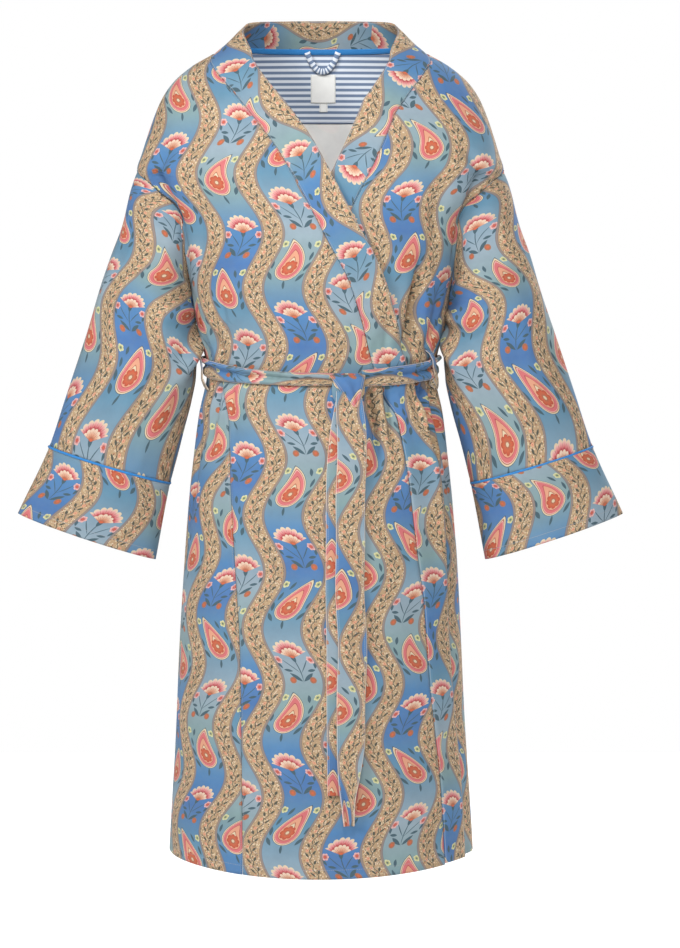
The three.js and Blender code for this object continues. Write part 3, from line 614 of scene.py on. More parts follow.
def neck_point(side):
    sign = -1 if side == "right" else 1
    levels = np.linspace(-60, 5, 400)
    passed = sign * band_seam_angle(side, levels) >= 90
    return float(levels[np.argmax(passed)]) if passed.any() else 0.0


NECK_RIGHT = neck_point("right")
NECK_LEFT = neck_point("left")


def outer_angle(z, is_back):
    side = angle_across(side_seam_across(z), z)
    arm = armhole_angle(z)
    arm = 180 - arm if is_back else arm
    return np.where(z > SHOULDER_END_Z, 90, np.where(z > UNDERARM_Z, arm, side))


def seam_height(angle):
    """The height of the collar seam round the back of the neck."""
    turned = -np.mod(-np.asarray(angle, dtype=float), 360)
    order = np.argsort(SEAM[:, 0])
    return np.interp(turned, SEAM[order, 0], SEAM[order, 1])


# How a piece is laid on its surface


def new_piece(name, bm):
    mesh = bpy.data.meshes.new(name)
    bm.to_mesh(mesh)
    bm.free()
    piece = bpy.data.objects.new(name, mesh)
    bpy.context.scene.collection.objects.link(piece)
    for face in mesh.polygons:
        face.use_smooth = True
    return piece


def cloth_piece(name, columns, rows, place, flat_uv, edge_uv, thickness, closed=False):
    """A grid of cloth: place gives each point in millimetres from its two shares.

    The two UV maps, of the flat cloth and of the distances from its edges, are in metres.
    """
    bm = bmesh.new()
    bmesh.ops.create_grid(bm, x_segments=columns, y_segments=rows, size=0.5, calc_uvs=False)
    shares = np.array([vert.co[:2] for vert in bm.verts]) + 0.5
    points = place(shares[:, 0], shares[:, 1]) * MM
    cloth = flat_uv(shares[:, 0], shares[:, 1])
    edges = edge_uv(shares[:, 0], shares[:, 1])
    cloth_map = bm.loops.layers.uv.new("cloth")
    edge_map = bm.loops.layers.uv.new("edges")
    for vert, point, uv, edge in zip(bm.verts, points, cloth, edges):
        vert.co = point
        for loop in vert.link_loops:
            loop[cloth_map].uv = uv * MM
            loop[edge_map].uv = edge * MM
    if closed:
        bmesh.ops.remove_doubles(bm, verts=bm.verts, dist=2e-5)
    piece = new_piece(name, bm)
    if not thickness:
        return piece
    wall = piece.modifiers.new("wall", "SOLIDIFY")
    wall.thickness = thickness * MM
    wall.offset = -1
    wall.use_even_offset = False
    wall.use_rim = True
    wall.material_offset = 1
    wall.material_offset_rim = 0
    return piece


def seam_pull(distance):
    """A seam draws the cloth in beside it."""
    dip = SEAM_DIP * np.exp(-((distance / SEAM_WIDTH) ** 2))
    return dip - 0.25 * np.exp(-(((distance - 5) / 3) ** 2))


def side_edges(width):
    """The edge map of a strip: how far each place is from its nearer long side."""
    def edges(s, t):
        return pair(np.minimum(s, 1 - s) * width, FAR)

    return edges


def front_panel(side, columns, rows):
    sign = -1 if side == "right" else 1
    surface = upper if side == "right" else under
    top = (NECK_RIGHT if side == "right" else NECK_LEFT) - 0.6

    def place_angle(s, t):
        z = HEM_Z + (top - HEM_Z) * t
        outside = shift_angle(sign * outer_angle(z, False), z, -sign * PANEL_GAP)
        inside = shift_angle(band_seam_angle(side, z), z, sign * PANEL_GAP)
        share = s if side == "right" else 1 - s
        return mix(outside, inside, share), z, outside, inside

    def width(angle_a, angle_b, z):
        a, b = form(angle_a, z), form(angle_b, z)
        middle = form((angle_a + angle_b) / 2, z)
        return np.linalg.norm(middle - a, axis=-1) + np.linalg.norm(b - middle, axis=-1)

    def place(s, t):
        angle, z, outside, inside = place_angle(s, t)
        to_outside = width(outside, angle, z)
        to_inside = width(angle, inside, z)
        pull = seam_pull(to_outside) + seam_pull(to_inside)
        return raised(surface, angle, z, -pull)

    def flat(s, t):
        angle, z, outside, inside = place_angle(s, t)
        grain = GRAIN[side] + 0 * z
        u = np.where(angle > grain, width(grain, angle, z), -width(angle, grain, z))
        return pair(u + PRINT_SHIFT[side][0], z * GRAIN_STRETCH + PRINT_SHIFT[side][1])

    def edges(s, t):
        angle, z, outside, inside = place_angle(s, t)
        nearest = np.minimum(width(outside, angle, z), width(angle, inside, z))
        return pair(nearest, z - HEM_Z)

    return cloth_piece(f"front_{side}_cloth", columns, rows, place, flat, edges, CLOTH)


def back_panel(columns, rows):
    def place_angle(s, t):
        top = min(NECK_LEFT, NECK_RIGHT)
        level = HEM_Z + (top - HEM_Z) * t
        start = shift_angle(outer_angle(level, True), level, PANEL_GAP)
        end = shift_angle(360 - outer_angle(level, True), level, -PANEL_GAP)
        angle = mix(start, end, s)
        rise = seam_height(np.clip(angle, 90, 270)) - 0.4 - top
        z = level + rise * smooth(level, -55, top)
        return angle, z, start, end

    def reach(a, b, z):
        steps = 6
        total = 0
        for k in range(steps):
            first, second = mix(a, b, k / steps), mix(a, b, (k + 1) / steps)
            total = total + np.linalg.norm(form(second, z) - form(first, z), axis=-1)
        return total

    def place(s, t):
        angle, z, start, end = place_angle(s, t)
        pull = seam_pull(reach(start, angle, z)) + seam_pull(reach(angle, end, z))
        return raised(back_face, angle, z, -pull)

    def flat(s, t):
        angle, z, start, end = place_angle(s, t)
        middle = 180 + 0 * z
        u = np.where(angle > middle, reach(middle, angle, z), -reach(angle, middle, z))
        return pair(u + PRINT_SHIFT["back"][0], z * GRAIN_STRETCH + PRINT_SHIFT["back"][1])

    def edges(s, t):
        angle, z, start, end = place_angle(s, t)
        nearest = np.minimum(reach(start, angle, z), reach(angle, end, z))
        return pair(nearest, z - HEM_Z)

    return cloth_piece("back_cloth", columns, rows, place, flat, edges, CLOTH)


ring_at = {key: curve(SLEEVE_RINGS["ring"], SLEEVE_RINGS[key]) for key in SLEEVE_RINGS if key != "ring"}


def sleeve_point(turn, ring):
    """A point of the left sleeve's tube, before its folds."""
    t = (1 - np.cos(np.radians(turn))) / 2
    side = np.sin(np.radians(turn))
    x = mix(ring_at["outer_x"](ring), ring_at["inner_x"](ring), t)
    z = mix(ring_at["outer_z"](ring), ring_at["inner_z"](ring), t)
    y = -np.sign(side) * ring_at["depth"](ring) * np.abs(side) ** SLEEVE_TIP
    share = smooth(ring, 0, SLEEVE_BLEND_RINGS)
    level = mix(SHOULDER_END_Z, UNDERARM_Z, t) + 0 * ring
    arm = armhole_angle(level)
    angle = np.where(side >= 0, arm, 180 - arm)
    on_body = np.where((side >= 0)[..., None], upper(angle, level), back_face(angle, level))
    first = {key: ring_at[key](0 * ring) for key in ring_at}
    body_x = on_body[..., 0] + ARMHOLE_GAP + x - mix(first["outer_x"], first["inner_x"], t)
    body_z = on_body[..., 2] - ARMHOLE_GAP / 2 + z - mix(first["outer_z"], first["inner_z"], t)
    point = [mix(body_x, x, share), mix(on_body[..., 1], y, share), mix(body_z, z, share)]
    return np.stack(point, axis=-1)


def sleeve_frame(turn, ring):
    """A place on the left sleeve's tube, with the ways out of it and down it."""
    turn = np.mod(turn + 180, 360) - 180
    point = sleeve_point(turn, ring)
    round_arm = sleeve_point(turn + 1.5, ring) - sleeve_point(turn - 1.5, ring)
    down = sleeve_point(turn, ring + 0.04) - sleeve_point(turn, ring - 0.04)
    return point, unit(np.cross(down, round_arm)), unit(down)


def sleeve_fold_depth(turn, ring, seed):
    depth = np.zeros(np.broadcast(turn, ring).shape)
    for k in range(len(SLEEVE_FOLDS["depth"])):
        start, end = SLEEVE_FOLDS["from_ring"][k], SLEEVE_FOLDS["to_ring"][k]
        s = np.clip((ring - start) / (end - start), 0, 1)
        middle = mix(SLEEVE_FOLDS["from_turn"][k], SLEEVE_FOLDS["to_turn"][k], s)
        middle = middle + 5 * math.sin(seed + k)
        away = np.mod(turn - middle + 540, 360) - 180
        size = SLEEVE_FOLDS["depth"][k] * (1 + 0.25 * math.sin(2.1 * k + seed))
        trough = np.exp(-((away * 1.6 / SLEEVE_FOLDS["width"][k]) ** 2))
        depth += size * np.sin(math.pi * s) ** 0.8 * trough
    return depth


def sleeve_tube(name, sign, from_ring, to_ring, columns, rows, thickness, shift, is_cuff):
    ring_turns = np.linspace(0, 360, 181)
    ring = 0 * ring_turns + (from_ring + to_ring) / 2
    steps = np.diff(sleeve_point(np.mod(ring_turns + 180, 360) - 180, ring), axis=0)
    ring_lengths = np.concatenate([[0], np.cumsum(np.linalg.norm(steps, axis=-1))])

    def surface(turn, ring):
        point, normal, _ = sleeve_frame(turn, ring)
        fade = 0.35 if is_cuff else 1
        depth = fade * sleeve_fold_depth(turn, np.minimum(ring, 6.4), sign)
        from_seam = np.abs(ring - CUFF_RING) * CUFF_RING_LENGTH
        depth = depth * (1 if is_cuff else smooth(from_seam, 0, 25) * 0.8 + 0.2)
        waves = ripple(turn * 1.3, ring * 60, 2.2 + sign) + 0.3
        depth = depth + 1.2 * waves * smooth(ring, 0, 0.6)
        armhole_pull = 0 if is_cuff else seam_pull(ring * FIRST_RING_LENGTH)
        depth = depth + seam_pull(from_seam) + armhole_pull
        point = point - normal * depth[..., None]
        point[..., 0] *= sign
        return point

    def place(s, t):
        turn = np.mod(-sign * 360 * s + 180, 360) - 180
        return surface(turn, mix(to_ring, from_ring, t))

    def down_arm(s):
        outside, inside = (OUTER_CUFF, INNER_CUFF) if is_cuff else (OUTER_ARM, INNER_ARM)
        return mix(outside, inside, (1 - np.cos(2 * math.pi * s)) / 2)

    def flat(s, t):
        u = np.interp(360 * s, ring_turns, ring_lengths)
        return pair(u * sign + shift, down_arm(s) * t - OUTER_ARM + shift * 1.7)

    def edges(s, t):
        from_hem = down_arm(s) * t + (0 if is_cuff else FAR)
        return pair(FAR, from_hem)

    return cloth_piece(name, columns, rows, place, flat, edges, thickness, closed=True)


def free_edge_lift(z, side):
    """How far the band's free edge stands off what lies under it."""
    if side != "right":
        return 0.5 + 0 * z
    below_belt = 9 * smooth(z, -452, -480) * smooth(z, -760, -600)
    above_belt = 1.6 * smooth(z, -395, -340) * smooth(z, -120, -200)
    return 0.6 + below_belt + above_belt


def band_piece(name, side, from_number, to_number, columns, rows, surface):
    along = np.linspace(0, 1, 400)
    numbers = mix(from_number, to_number, along)
    angle, z = band_at(numbers, 0.5)
    path = form(angle, z)
    lengths = np.concatenate([[0], np.cumsum(np.linalg.norm(np.diff(path, axis=0), axis=-1))])
    total = lengths[-1]

    def shares(s, t):
        number = np.interp(t * total, lengths, numbers)
        return band_at(number, 1 - s), 1 - s

    def place(s, t):
        (angle, z), across = shares(s, t)
        distance = (1 - across) * BAND_WIDTH
        at_edge = np.exp(-((across * BAND_WIDTH / 13) ** 2))
        lift = 0.8 - seam_pull(distance) + free_edge_lift(z, side) * at_edge
        turn = 360 if surface is under else 0
        return surface(angle + turn, z) + normal_of(form, angle, z) * lift[:, None]

    def flat(s, t):
        (angle, z), across = shares(s, t)
        return pair((across - 0.5) * BAND_WIDTH + 23, t * total + 40)

    def edges(s, t):
        (angle, z), across = shares(s, t)
        return pair((1 - across) * BAND_WIDTH, FAR)

    return cloth_piece(name, columns, rows, place, flat, edges, BAND_CLOTH), total


def belt_height(angle):
    return BELT_Z - BELT_SAG * np.maximum(0, np.cos(np.radians(angle))) ** 1.3


belt_profile = curve([-1, -0.72, -0.3, 0.05, 0.4, 0.75, 1], [3.2, 6.6, 5.8, 1.6, 5.4, 7.2, 3.4])
belt_tallness = curve([0, 14, 48, 62, 95, 265, 300, 345, 374], [14, 19, 28, 28, 27, 27, 24, 19, 14])


def belt_round_waist():
    z = float(belt_height(0))
    start = float(angle_across(KNOT_ACROSS + KNOT_HALF_WIDTH - KNOT_TUCK, z))
    end = 360 + float(angle_across(KNOT_ACROSS - KNOT_HALF_WIDTH + KNOT_TUCK, z))

    def place(s, t):
        angle = mix(start, end, s)
        share = 2 * t - 1
        height = belt_tallness(angle) * (1 + 0.07 * np.sin(np.radians(angle * 5 + 40)))
        wander = 0.12 * np.sin(np.radians(angle * 3.3))
        wander = wander + 0.1 * np.sin(np.radians(angle * 7.1 + 60))
        lift = belt_profile(np.clip(share + wander * (1 - share * share), -1, 1))
        lift = lift + 0.5 * np.sin(np.radians(angle * 23)) * np.cos(share * 2.4)
        lift = lift + 0.35 * np.sin(angle * 1.9 + share * 3)
        level = belt_height(angle) + share * height / 2
        return raised(form, angle, level, lift)

    def flat(s, t):
        return pair(t * BELT_WIDTH + 8, s * 800 + 11)

    def edges(s, t):
        return pair(np.minimum(t, 1 - t) * BELT_WIDTH, FAR)

    return cloth_piece("belt_round_waist", 420, 16, place, flat, edges, 1.8)


TAILS = {
    "front": table(
        ["z", "across", "half_width", "lift", "curl"],
        [
            [-1014, 37, 5.5, 9, 3],
            [-985, 37, 7.5, 9, 5],
            [-950, 38, 13.5, 8.6, 3],
            [-900, 39, 18, 7, 0.5],
            [-740, 39.5, 18.5, 6.6, -0.4],
            [-560, 39, 18.5, 7.2, 0.5],
            [-510, 38, 18.5, 9, 0.6],
            [-474, 37, 17.5, 11, 0.4],
            [-452, 36, 15, 12.4, 0],
        ],
    ),
    "back": table(
        ["z", "across", "half_width", "lift", "curl"],
        [
            [-975, 27, 17, 3.2, 0],
            [-880, 26.5, 18, 3.2, 0],
            [-700, 26, 18.5, 3.2, 0],
            [-560, 26, 18, 3.4, 0],
            [-510, 28, 16.5, 3.8, 0],
            [-474, 32, 14, 4.4, 0],
            [-462, 33, 13, 5, 0],
        ],
    ),
}


def belt_tail(name, rows_of, thickness, waves):
    at = {key: curve(rows_of["z"], rows_of[key]) for key in rows_of if key != "z"}
    bottom, top = rows_of["z"][0], rows_of["z"][-1]

    def place(s, t):
        z = mix(bottom, top, t)
        share = 2 * s - 1
        sway = waves * (1.4 * np.sin(z / 47) + 0.8 * np.sin(z / 21 + 1))
        angle = angle_across(at["across"](z) + sway + share * at["half_width"](z), z)
        lift = at["lift"](z) + at["curl"](z) * share * share
        wave = 0.9 * np.sin(z / 31 + share * 1.4) + 0.5 * np.sin(z / 13 + share * 2) + 0.6
        return raised(form, angle, z, lift + waves * wave)

    def flat(s, t):
        return pair(s * TAIL_WIDTH + 50, t * (top - bottom) + 31)

    def edges(s, t):
        return pair(np.minimum(s, 1 - s) * TAIL_WIDTH, t * (top - bottom))

    return cloth_piece(name, 18, 150, place, flat, edges, thickness)


def cuff_cord(name, sign):
    """The round cord caught in the seam between a sleeve and its cuff."""
    def place(s, t):
        point, out, down = sleeve_frame(360 * t, CUFF_RING + 0 * t)
        around = 2 * math.pi * s
        point = point + out * (PIPING_RADIUS * np.cos(around) - 0.3)[:, None]
        point = point - down * (sign * PIPING_RADIUS * np.sin(around))[:, None]
        point[..., 0] *= sign
        return point

    def flat(s, t):
        return pair(s * 2 * math.pi * PIPING_RADIUS, t * 430)

    def edges(s, t):
        return pair(FAR + 0 * s, FAR)

    return cloth_piece(name, 12, 200, place, flat, edges, 0, closed=True)


def inside_back(across, z, lift):
    """A place inside the back of the neck, so far across and so far from the back's face."""
    angle = 180 - angle_across(across, z)
    return raised(back_face, angle, z, lift)


def neck_facing():
    """The striped half moon inside the back of the neck."""
    def place_angle(s, t):
        angle = mix(180 - FACING_REACH, 180 + FACING_REACH, s)
        away = np.abs(angle - 180) / FACING_REACH
        top = seam_height(angle) - 1.5
        bottom = top - FACING_END - (FACING_DROP - FACING_END) * (1 - away**2.4) ** 0.62
        return angle, mix(bottom, top, t), bottom

    def place(s, t):
        angle, z, bottom = place_angle(s, t)
        return raised(back_face, angle, z, FACING_LIFT)

    def flat(s, t):
        angle, z, bottom = place_angle(s, t)
        arch = 5 * np.cos(np.radians((angle - 180) * 1.1))
        return pair((angle - 180) * 1.6, z - arch)

    def edges(s, t):
        angle, z, bottom = place_angle(s, t)
        return pair(FAR, z - bottom)

    return cloth_piece("neck_half_moon", 120, 50, place, flat, edges, 0.9)


def neck_tape(from_number, to_number):
    """Tape over the collar seam, round the inside of the back of the neck."""
    def place(s, t):
        number = mix(from_number, to_number, t)
        seam_angle, seam_z = band_at(number, 1.0)
        band_angle, band_z = band_at(number, 0.5)
        share = mix(-0.1, 0.26, s)
        angle, z = mix(seam_angle, band_angle, share), mix(seam_z, band_z, share)
        lift = -3.3 - 0.9 * np.sin(math.pi * s) - 0.5 * smooth(s, 0.6, 0.9)
        return raised(upper, angle, z, lift)

    def flat(s, t):
        return pair(s * TAPE_WIDTH, t * 260)

    return cloth_piece("neck_binding", 10, 160, place, flat, side_edges(TAPE_WIDTH), 0.7)


def patch(name, from_across, to_across, bottom, top, lift, thickness):
    """A small flat piece sewn inside the back of the neck."""
    def place(s, t):
        across = mix(to_across, from_across, s)
        z = mix(bottom, top, t)
        curl = 0.7 * np.sin(math.pi * s) * (1 - t) + 0.4 * (1 - t) ** 3
        return inside_back(across, z, lift - curl)

    def flat(s, t):
        return pair(s * (to_across - from_across), t * (top - bottom))

    def edges(s, t):
        side = np.minimum(s, 1 - s) * (to_across - from_across)
        end = np.minimum(t, 1 - t) * (top - bottom)
        return pair(side, end)

    return cloth_piece(name, 24, 24, place, flat, edges, thickness)


def hang_loop():
    """A narrow loop that droops between its two ends under the tape."""
    def middle(t):
        across = mix(LOOP_FROM, LOOP_TO, t)
        z = LOOP_TOP - LOOP_DROP * (1 - np.abs(2 * t - 1) ** 2.2)
        return across, z

    def place(s, t):
        across, z = middle(t)
        after, before = middle(np.minimum(t + 0.01, 1)), middle(np.maximum(t - 0.01, 0))
        run, fall = after[0] - before[0], after[1] - before[1]
        length = np.hypot(run, fall)
        share = (s - 0.5) * LOOP_WIDTH
        lift = -4.6 - 3.4 * np.sin(math.pi * t) - 1.3 * np.sin(math.pi * s)
        return inside_back(across - fall / length * share, z + run / length * share, lift)

    def flat(s, t):
        return pair(s * LOOP_WIDTH, t * LOOP_LENGTH)

    return cloth_piece("hanging_loop", 8, 90, place, flat, side_edges(LOOP_WIDTH), 1.1)


def belt_carrier(name, from_angle, to_angle, width):
    """A strip that stands out from the side seam and passes round the belt."""
    def place(s, t):
        middle = mix(to_angle, from_angle, t)
        step = (1 - t) * (len(CARRIER_PATH["drop"]) - 1)
        steps = np.arange(len(CARRIER_PATH["drop"]))
        z = belt_height(middle) + np.interp(step, steps, CARRIER_PATH["drop"])
        lift = np.interp(step, steps, CARRIER_PATH["lift"]) + 0.3 * np.cos((s - 0.5) * 3)
        angle = shift_angle(middle, z, (s - 0.5) * width)
        return raised(upper, angle, z, lift)

    def flat(s, t):
        return pair(s * width + 12, t * 70 + 33)

    return cloth_piece(name, 8, 70, place, flat, side_edges(width), CLOTH)


def on_front(across, z, lift):
    """A place so far across the front of the form, and so far out from it."""
    return raised(form, angle_across(across, z), z, lift)


def knot_core():
    """The wound cloth of the knot: full in front and creased where its turns meet."""
    bm = bmesh.new()
    bmesh.ops.create_uvsphere(bm, u_segments=56, v_segments=36, radius=1)
    ball = np.array([vert.co[:] for vert in bm.verts])
    across = KNOT_ACROSS + KNOT_HALF_WIDTH * np.sign(ball[:, 0]) * np.abs(ball[:, 0]) ** 0.8
    z = KNOT_Z + KNOT_HALF_HEIGHT * np.sign(ball[:, 2]) * np.abs(ball[:, 2]) ** 0.85
    crease = 1.1 * np.exp(-(((across - KNOT_ACROSS + 0.5 * (z - KNOT_Z) - 9) / 2.4) ** 2))
    crease += 0.9 * np.exp(-(((across - KNOT_ACROSS - 0.3 * (z - KNOT_Z) + 11) / 2.2) ** 2))
    lift = 6.6 - 5 * ball[:, 1] - np.where(ball[:, 1] < 0, crease, 0)
    points = on_front(across, z, lift) * MM
    cloth_map = bm.loops.layers.uv.new("cloth")
    edge_map = bm.loops.layers.uv.new("edges")
    for i, vert in enumerate(bm.verts):
        vert.co = points[i]
        for loop in vert.link_loops:
            loop[cloth_map].uv = ((across[i] + 20) * MM, (z[i] + lift[i]) * MM)
            loop[edge_map].uv = (0.5, 0.5)
    bmesh.ops.recalc_face_normals(bm, faces=bm.faces)
    return new_piece("knot_wound_cloth", bm)


def knot_flap():
    """The belt's end folded over the knot: a pointed flap that covers the root of the front end."""
    def half_width_at(t):
        return mix(*FLAP_HALF_WIDTHS, t**0.9)

    def parts(s, t):
        centre = mix(45, 33.5, t**0.9)
        return centre + (2 * s - 1) * half_width_at(t), mix(-473, -427, t)

    def place(s, t):
        across, z = parts(s, t)
        side = 2 * s - 1
        lift = 13 + 4.4 * np.sin(math.pi * t**1.4) * (1 - 0.6 * side * side)
        lift = lift - 3 * np.abs(side) ** 5
        lift = lift + 1.5 * np.cos(side * 5.4 + 2.2 * t) * np.sin(math.pi * np.clip(t * 1.1, 0, 1))
        lift = lift - 9 * smooth(t, 0.8, 1.02) ** 2
        return on_front(across, z, lift)

    def flat(s, t):
        across, z = parts(s, t)
        return pair(across + FLAP_GRAIN[0], z + FLAP_GRAIN[1])

    def edges(s, t):
        return pair(np.minimum(s, 1 - s) * 2 * half_width_at(t), FAR)

    return cloth_piece("knot_folded_end", 40, 40, place, flat, edges, 1.5)


# The looks: node groups with named inputs, used by several cloths


CLOTH_BRIGHTNESS = 0.86
GAMMA = 2.2
YARN_STEP = 0.0011
STITCH_STEP = 0.0028
STRIPE_STEP = 0.0076
TWIST_STEP = 0.0016


def ink(red, green, blue):
    """A cloth's own colour from its red, green and blue out of 255."""
    return tuple(round(CLOTH_BRIGHTNESS * (value / 255) ** GAMMA, 4) for value in (red, green, blue))


def group(name, inputs, outputs):
    """An empty node group; returns its tree and its two end nodes. Cloth is a vector."""
    tree = bpy.data.node_groups.new(name, "ShaderNodeTree")
    for label, value in inputs.items():
        kind = "NodeSocketVector" if label == "Cloth" else "NodeSocketFloat"
        socket = tree.interface.new_socket(name=label, in_out="INPUT", socket_type=kind)
        if value is not None:
            socket.default_value = value
    for label in outputs:
        kind = "NodeSocketColor" if label == "Color" else "NodeSocketFloat"
        tree.interface.new_socket(name=label, in_out="OUTPUT", socket_type=kind)
    return tree, tree.nodes.new("NodeGroupInput"), tree.nodes.new("NodeGroupOutput")


class Wires:
    """Short words for joining nodes in one tree."""

    def __init__(self, tree):
        self.tree = tree

    def put(self, socket, value):
        if isinstance(value, bpy.types.NodeSocket):
            self.tree.links.new(value, socket)
        elif isinstance(value, tuple) and len(value) == 3 and socket.type == "RGBA":
            socket.default_value = (*value, 1)
        else:
            socket.default_value = value

    def math(self, kind, a, b=0.0, c=0.0):
        node = self.tree.nodes.new("ShaderNodeMath")
        node.operation = kind
        for socket, value in zip(node.inputs, (a, b, c)):
            self.put(socket, value)
        return node.outputs[0]

    def add(self, a, b):
        return self.math("ADD", a, b)

    def take(self, a, b):
        return self.math("SUBTRACT", a, b)

    def times(self, a, b):
        return self.math("MULTIPLY", a, b)

    def size(self, a):
        return self.math("ABSOLUTE", a)

    def sharp(self, value, edge, softness):
        """1 below the edge and 0 above it, with a soft step."""
        node = self.tree.nodes.new("ShaderNodeMapRange")
        node.interpolation_type = "SMOOTHSTEP"
        self.put(node.inputs["Value"], value)
        self.put(node.inputs["From Min"], self.take(edge, softness))
        self.put(node.inputs["From Max"], self.add(edge, softness))
        node.inputs["To Min"].default_value = 1
        node.inputs["To Max"].default_value = 0
        return node.outputs[0]

    def blend(self, factor, below, above, kind="MIX"):
        node = self.tree.nodes.new("ShaderNodeMix")
        node.data_type = "RGBA"
        node.blend_type = kind
        self.put(node.inputs[0], factor)
        self.put(node.inputs[6], below)
        self.put(node.inputs[7], above)
        return node.outputs[2]

    def place(self, tree, **values):
        node = self.tree.nodes.new("ShaderNodeGroup")
        node.node_tree = tree
        for label, value in values.items():
            self.put(node.inputs[label.replace("_", " ")], value)
        return node

    def combine(self, x, y, z=0.0):
        node = self.tree.nodes.new("ShaderNodeCombineXYZ")
        for socket, value in zip(node.inputs, (x, y, z)):
            self.put(socket, value)
        return node.outputs[0]

    def split(self, vector):
        node = self.tree.nodes.new("ShaderNodeSeparateXYZ")
        self.put(node.inputs[0], vector)
        return node.outputs[0], node.outputs[1]

    def noise(self, vector, scale, detail=2.0, roughness=0.5):
        node = self.tree.nodes.new("ShaderNodeTexNoise")
        self.put(node.inputs["Vector"], vector)
        node.inputs["Scale"].default_value = scale
        node.inputs["Detail"].default_value = detail
        node.inputs["Roughness"].default_value = roughness
        return node.outputs["Fac"]

    def spots(self, vector, scale):
        """Scattered spots: how far the nearest one is, and a number of its own."""
        node = self.tree.nodes.new("ShaderNodeTexVoronoi")
        node.feature = "F1"
        node.inputs["Scale"].default_value = scale
        node.inputs["Randomness"].default_value = 0.9
        self.put(node.inputs["Vector"], vector)
        own = self.tree.nodes.new("ShaderNodeSeparateColor")
        self.put(own.inputs[0], node.outputs["Color"])
        return node.outputs["Distance"], own.outputs[0]

    def ramp(self, factor, stops, kind="CONSTANT"):
        node = self.tree.nodes.new("ShaderNodeValToRGB")
        node.color_ramp.interpolation = kind
        elements = node.color_ramp.elements
        while len(elements) < len(stops):
            elements.new(1)
        for element, (position, color) in zip(elements, stops):
            element.position = position
            element.color = (*color, 1)
        self.put(node.inputs["Fac"], factor)
        return node.outputs["Color"]


def flower_group():
    """A round flower in millimetres: masks of its petals, eye and lines, and its shade outwards."""
    tree, given, out = group(
        "flower",
        {"X": 0.0, "Y": 0.0, "At X": 0.0, "At Y": 0.0, "Radius": 10.0, "Petals": 6.0, "Notch": 0.3},
        ["Petals", "Eye", "Shade", "Lines"],
    )
    w = Wires(tree)
    x = w.take(given.outputs["X"], given.outputs["At X"])
    y = w.take(given.outputs["Y"], given.outputs["At Y"])
    reach = w.math("SQRT", w.add(w.times(x, x), w.times(y, y)))
    turn = w.math("ARCTAN2", y, x)
    wave = w.size(w.math("COSINE", w.times(turn, w.times(given.outputs["Petals"], 0.5))))
    notch = given.outputs["Notch"]
    bulge = w.math("MULTIPLY_ADD", w.math("POWER", wave, 0.6), notch, w.take(1.0, notch))
    rim = w.times(given.outputs["Radius"], bulge)
    share = w.math("DIVIDE", reach, rim)
    w.put(out.inputs["Petals"], w.sharp(reach, rim, 0.2))
    w.put(out.inputs["Eye"], w.sharp(share, 0.25, 0.03))
    w.put(out.inputs["Shade"], w.math("MINIMUM", share, 1.0))
    between = w.times(w.sharp(wave, 0.24, 0.1), w.sharp(share, 0.93, 0.05))
    mid_petal = w.sharp(w.take(1.0, wave), 0.05, 0.04)
    vein = w.times(mid_petal, w.sharp(w.size(w.take(share, 0.48)), 0.2, 0.05))
    w.put(out.inputs["Lines"], w.math("MAXIMUM", between, vein))
    return tree


def leaf_group():
    """The mask of a pointed leaf at a place, turned, from its half length and half width."""
    tree, given, out = group(
        "leaf",
        {"X": 0.0, "Y": 0.0, "At X": 0.0, "At Y": 0.0, "Turn": 0.0, "Length": 6.0, "Width": 2.0},
        ["Leaf"],
    )
    w = Wires(tree)
    x = w.take(given.outputs["X"], given.outputs["At X"])
    y = w.take(given.outputs["Y"], given.outputs["At Y"])
    cosine = w.math("COSINE", given.outputs["Turn"])
    sine = w.math("SINE", given.outputs["Turn"])
    along = w.add(w.times(x, cosine), w.times(y, sine))
    across = w.take(w.times(y, cosine), w.times(x, sine))
    share = w.math("DIVIDE", along, given.outputs["Length"])
    room = w.times(w.take(1.0, w.times(share, share)), given.outputs["Width"])
    w.put(out.inputs["Leaf"], w.sharp(w.size(across), room, 0.2))
    return tree


def stitch_group():
    """A line of stitches at a distance from an edge: where its thread lies."""
    tree, given, out = group(
        "stitch line", {"Distance": 0.0, "Along": 0.0, "At": 0.002}, ["Thread", "Groove"]
    )
    w = Wires(tree)
    away = w.size(w.take(given.outputs["Distance"], given.outputs["At"]))
    step = w.math("FRACT", w.math("DIVIDE", given.outputs["Along"], STITCH_STEP))
    dash = w.sharp(w.size(w.take(step, 0.5)), 0.36, 0.06)
    w.put(out.inputs["Thread"], w.times(dash, w.sharp(away, 0.00032, 0.00012)))
    w.put(out.inputs["Groove"], w.sharp(away, 0.0006, 0.0006))
    return tree


def weave_group():
    """Fine plain weave with uneven yarns, over a cloth map in metres: a height and a light mottling."""
    tree, given, out = group("plain weave", {"Cloth": None}, ["Height", "Mottle"])
    w = Wires(tree)
    u, v = w.split(given.outputs["Cloth"])
    warp = w.math("SINE", w.times(u, 2 * math.pi / YARN_STEP))
    weft = w.math("SINE", w.times(v, 2 * math.pi / YARN_STEP))
    slub = w.noise(w.combine(w.times(u, 12.0), v), 260.0)
    yarns = w.math("MULTIPLY_ADD", w.times(warp, weft), 0.5, w.times(slub, 0.8))
    crush = w.noise(given.outputs["Cloth"], 46.0, 4.0, 0.6)
    w.put(out.inputs["Height"], w.math("MULTIPLY_ADD", crush, 3.0, yarns))
    w.put(out.inputs["Mottle"], w.noise(given.outputs["Cloth"], 22.0, 5.0, 0.62))
    return tree


FLOWER = flower_group()
LEAF = leaf_group()
STITCH = stitch_group()
WEAVE = weave_group()

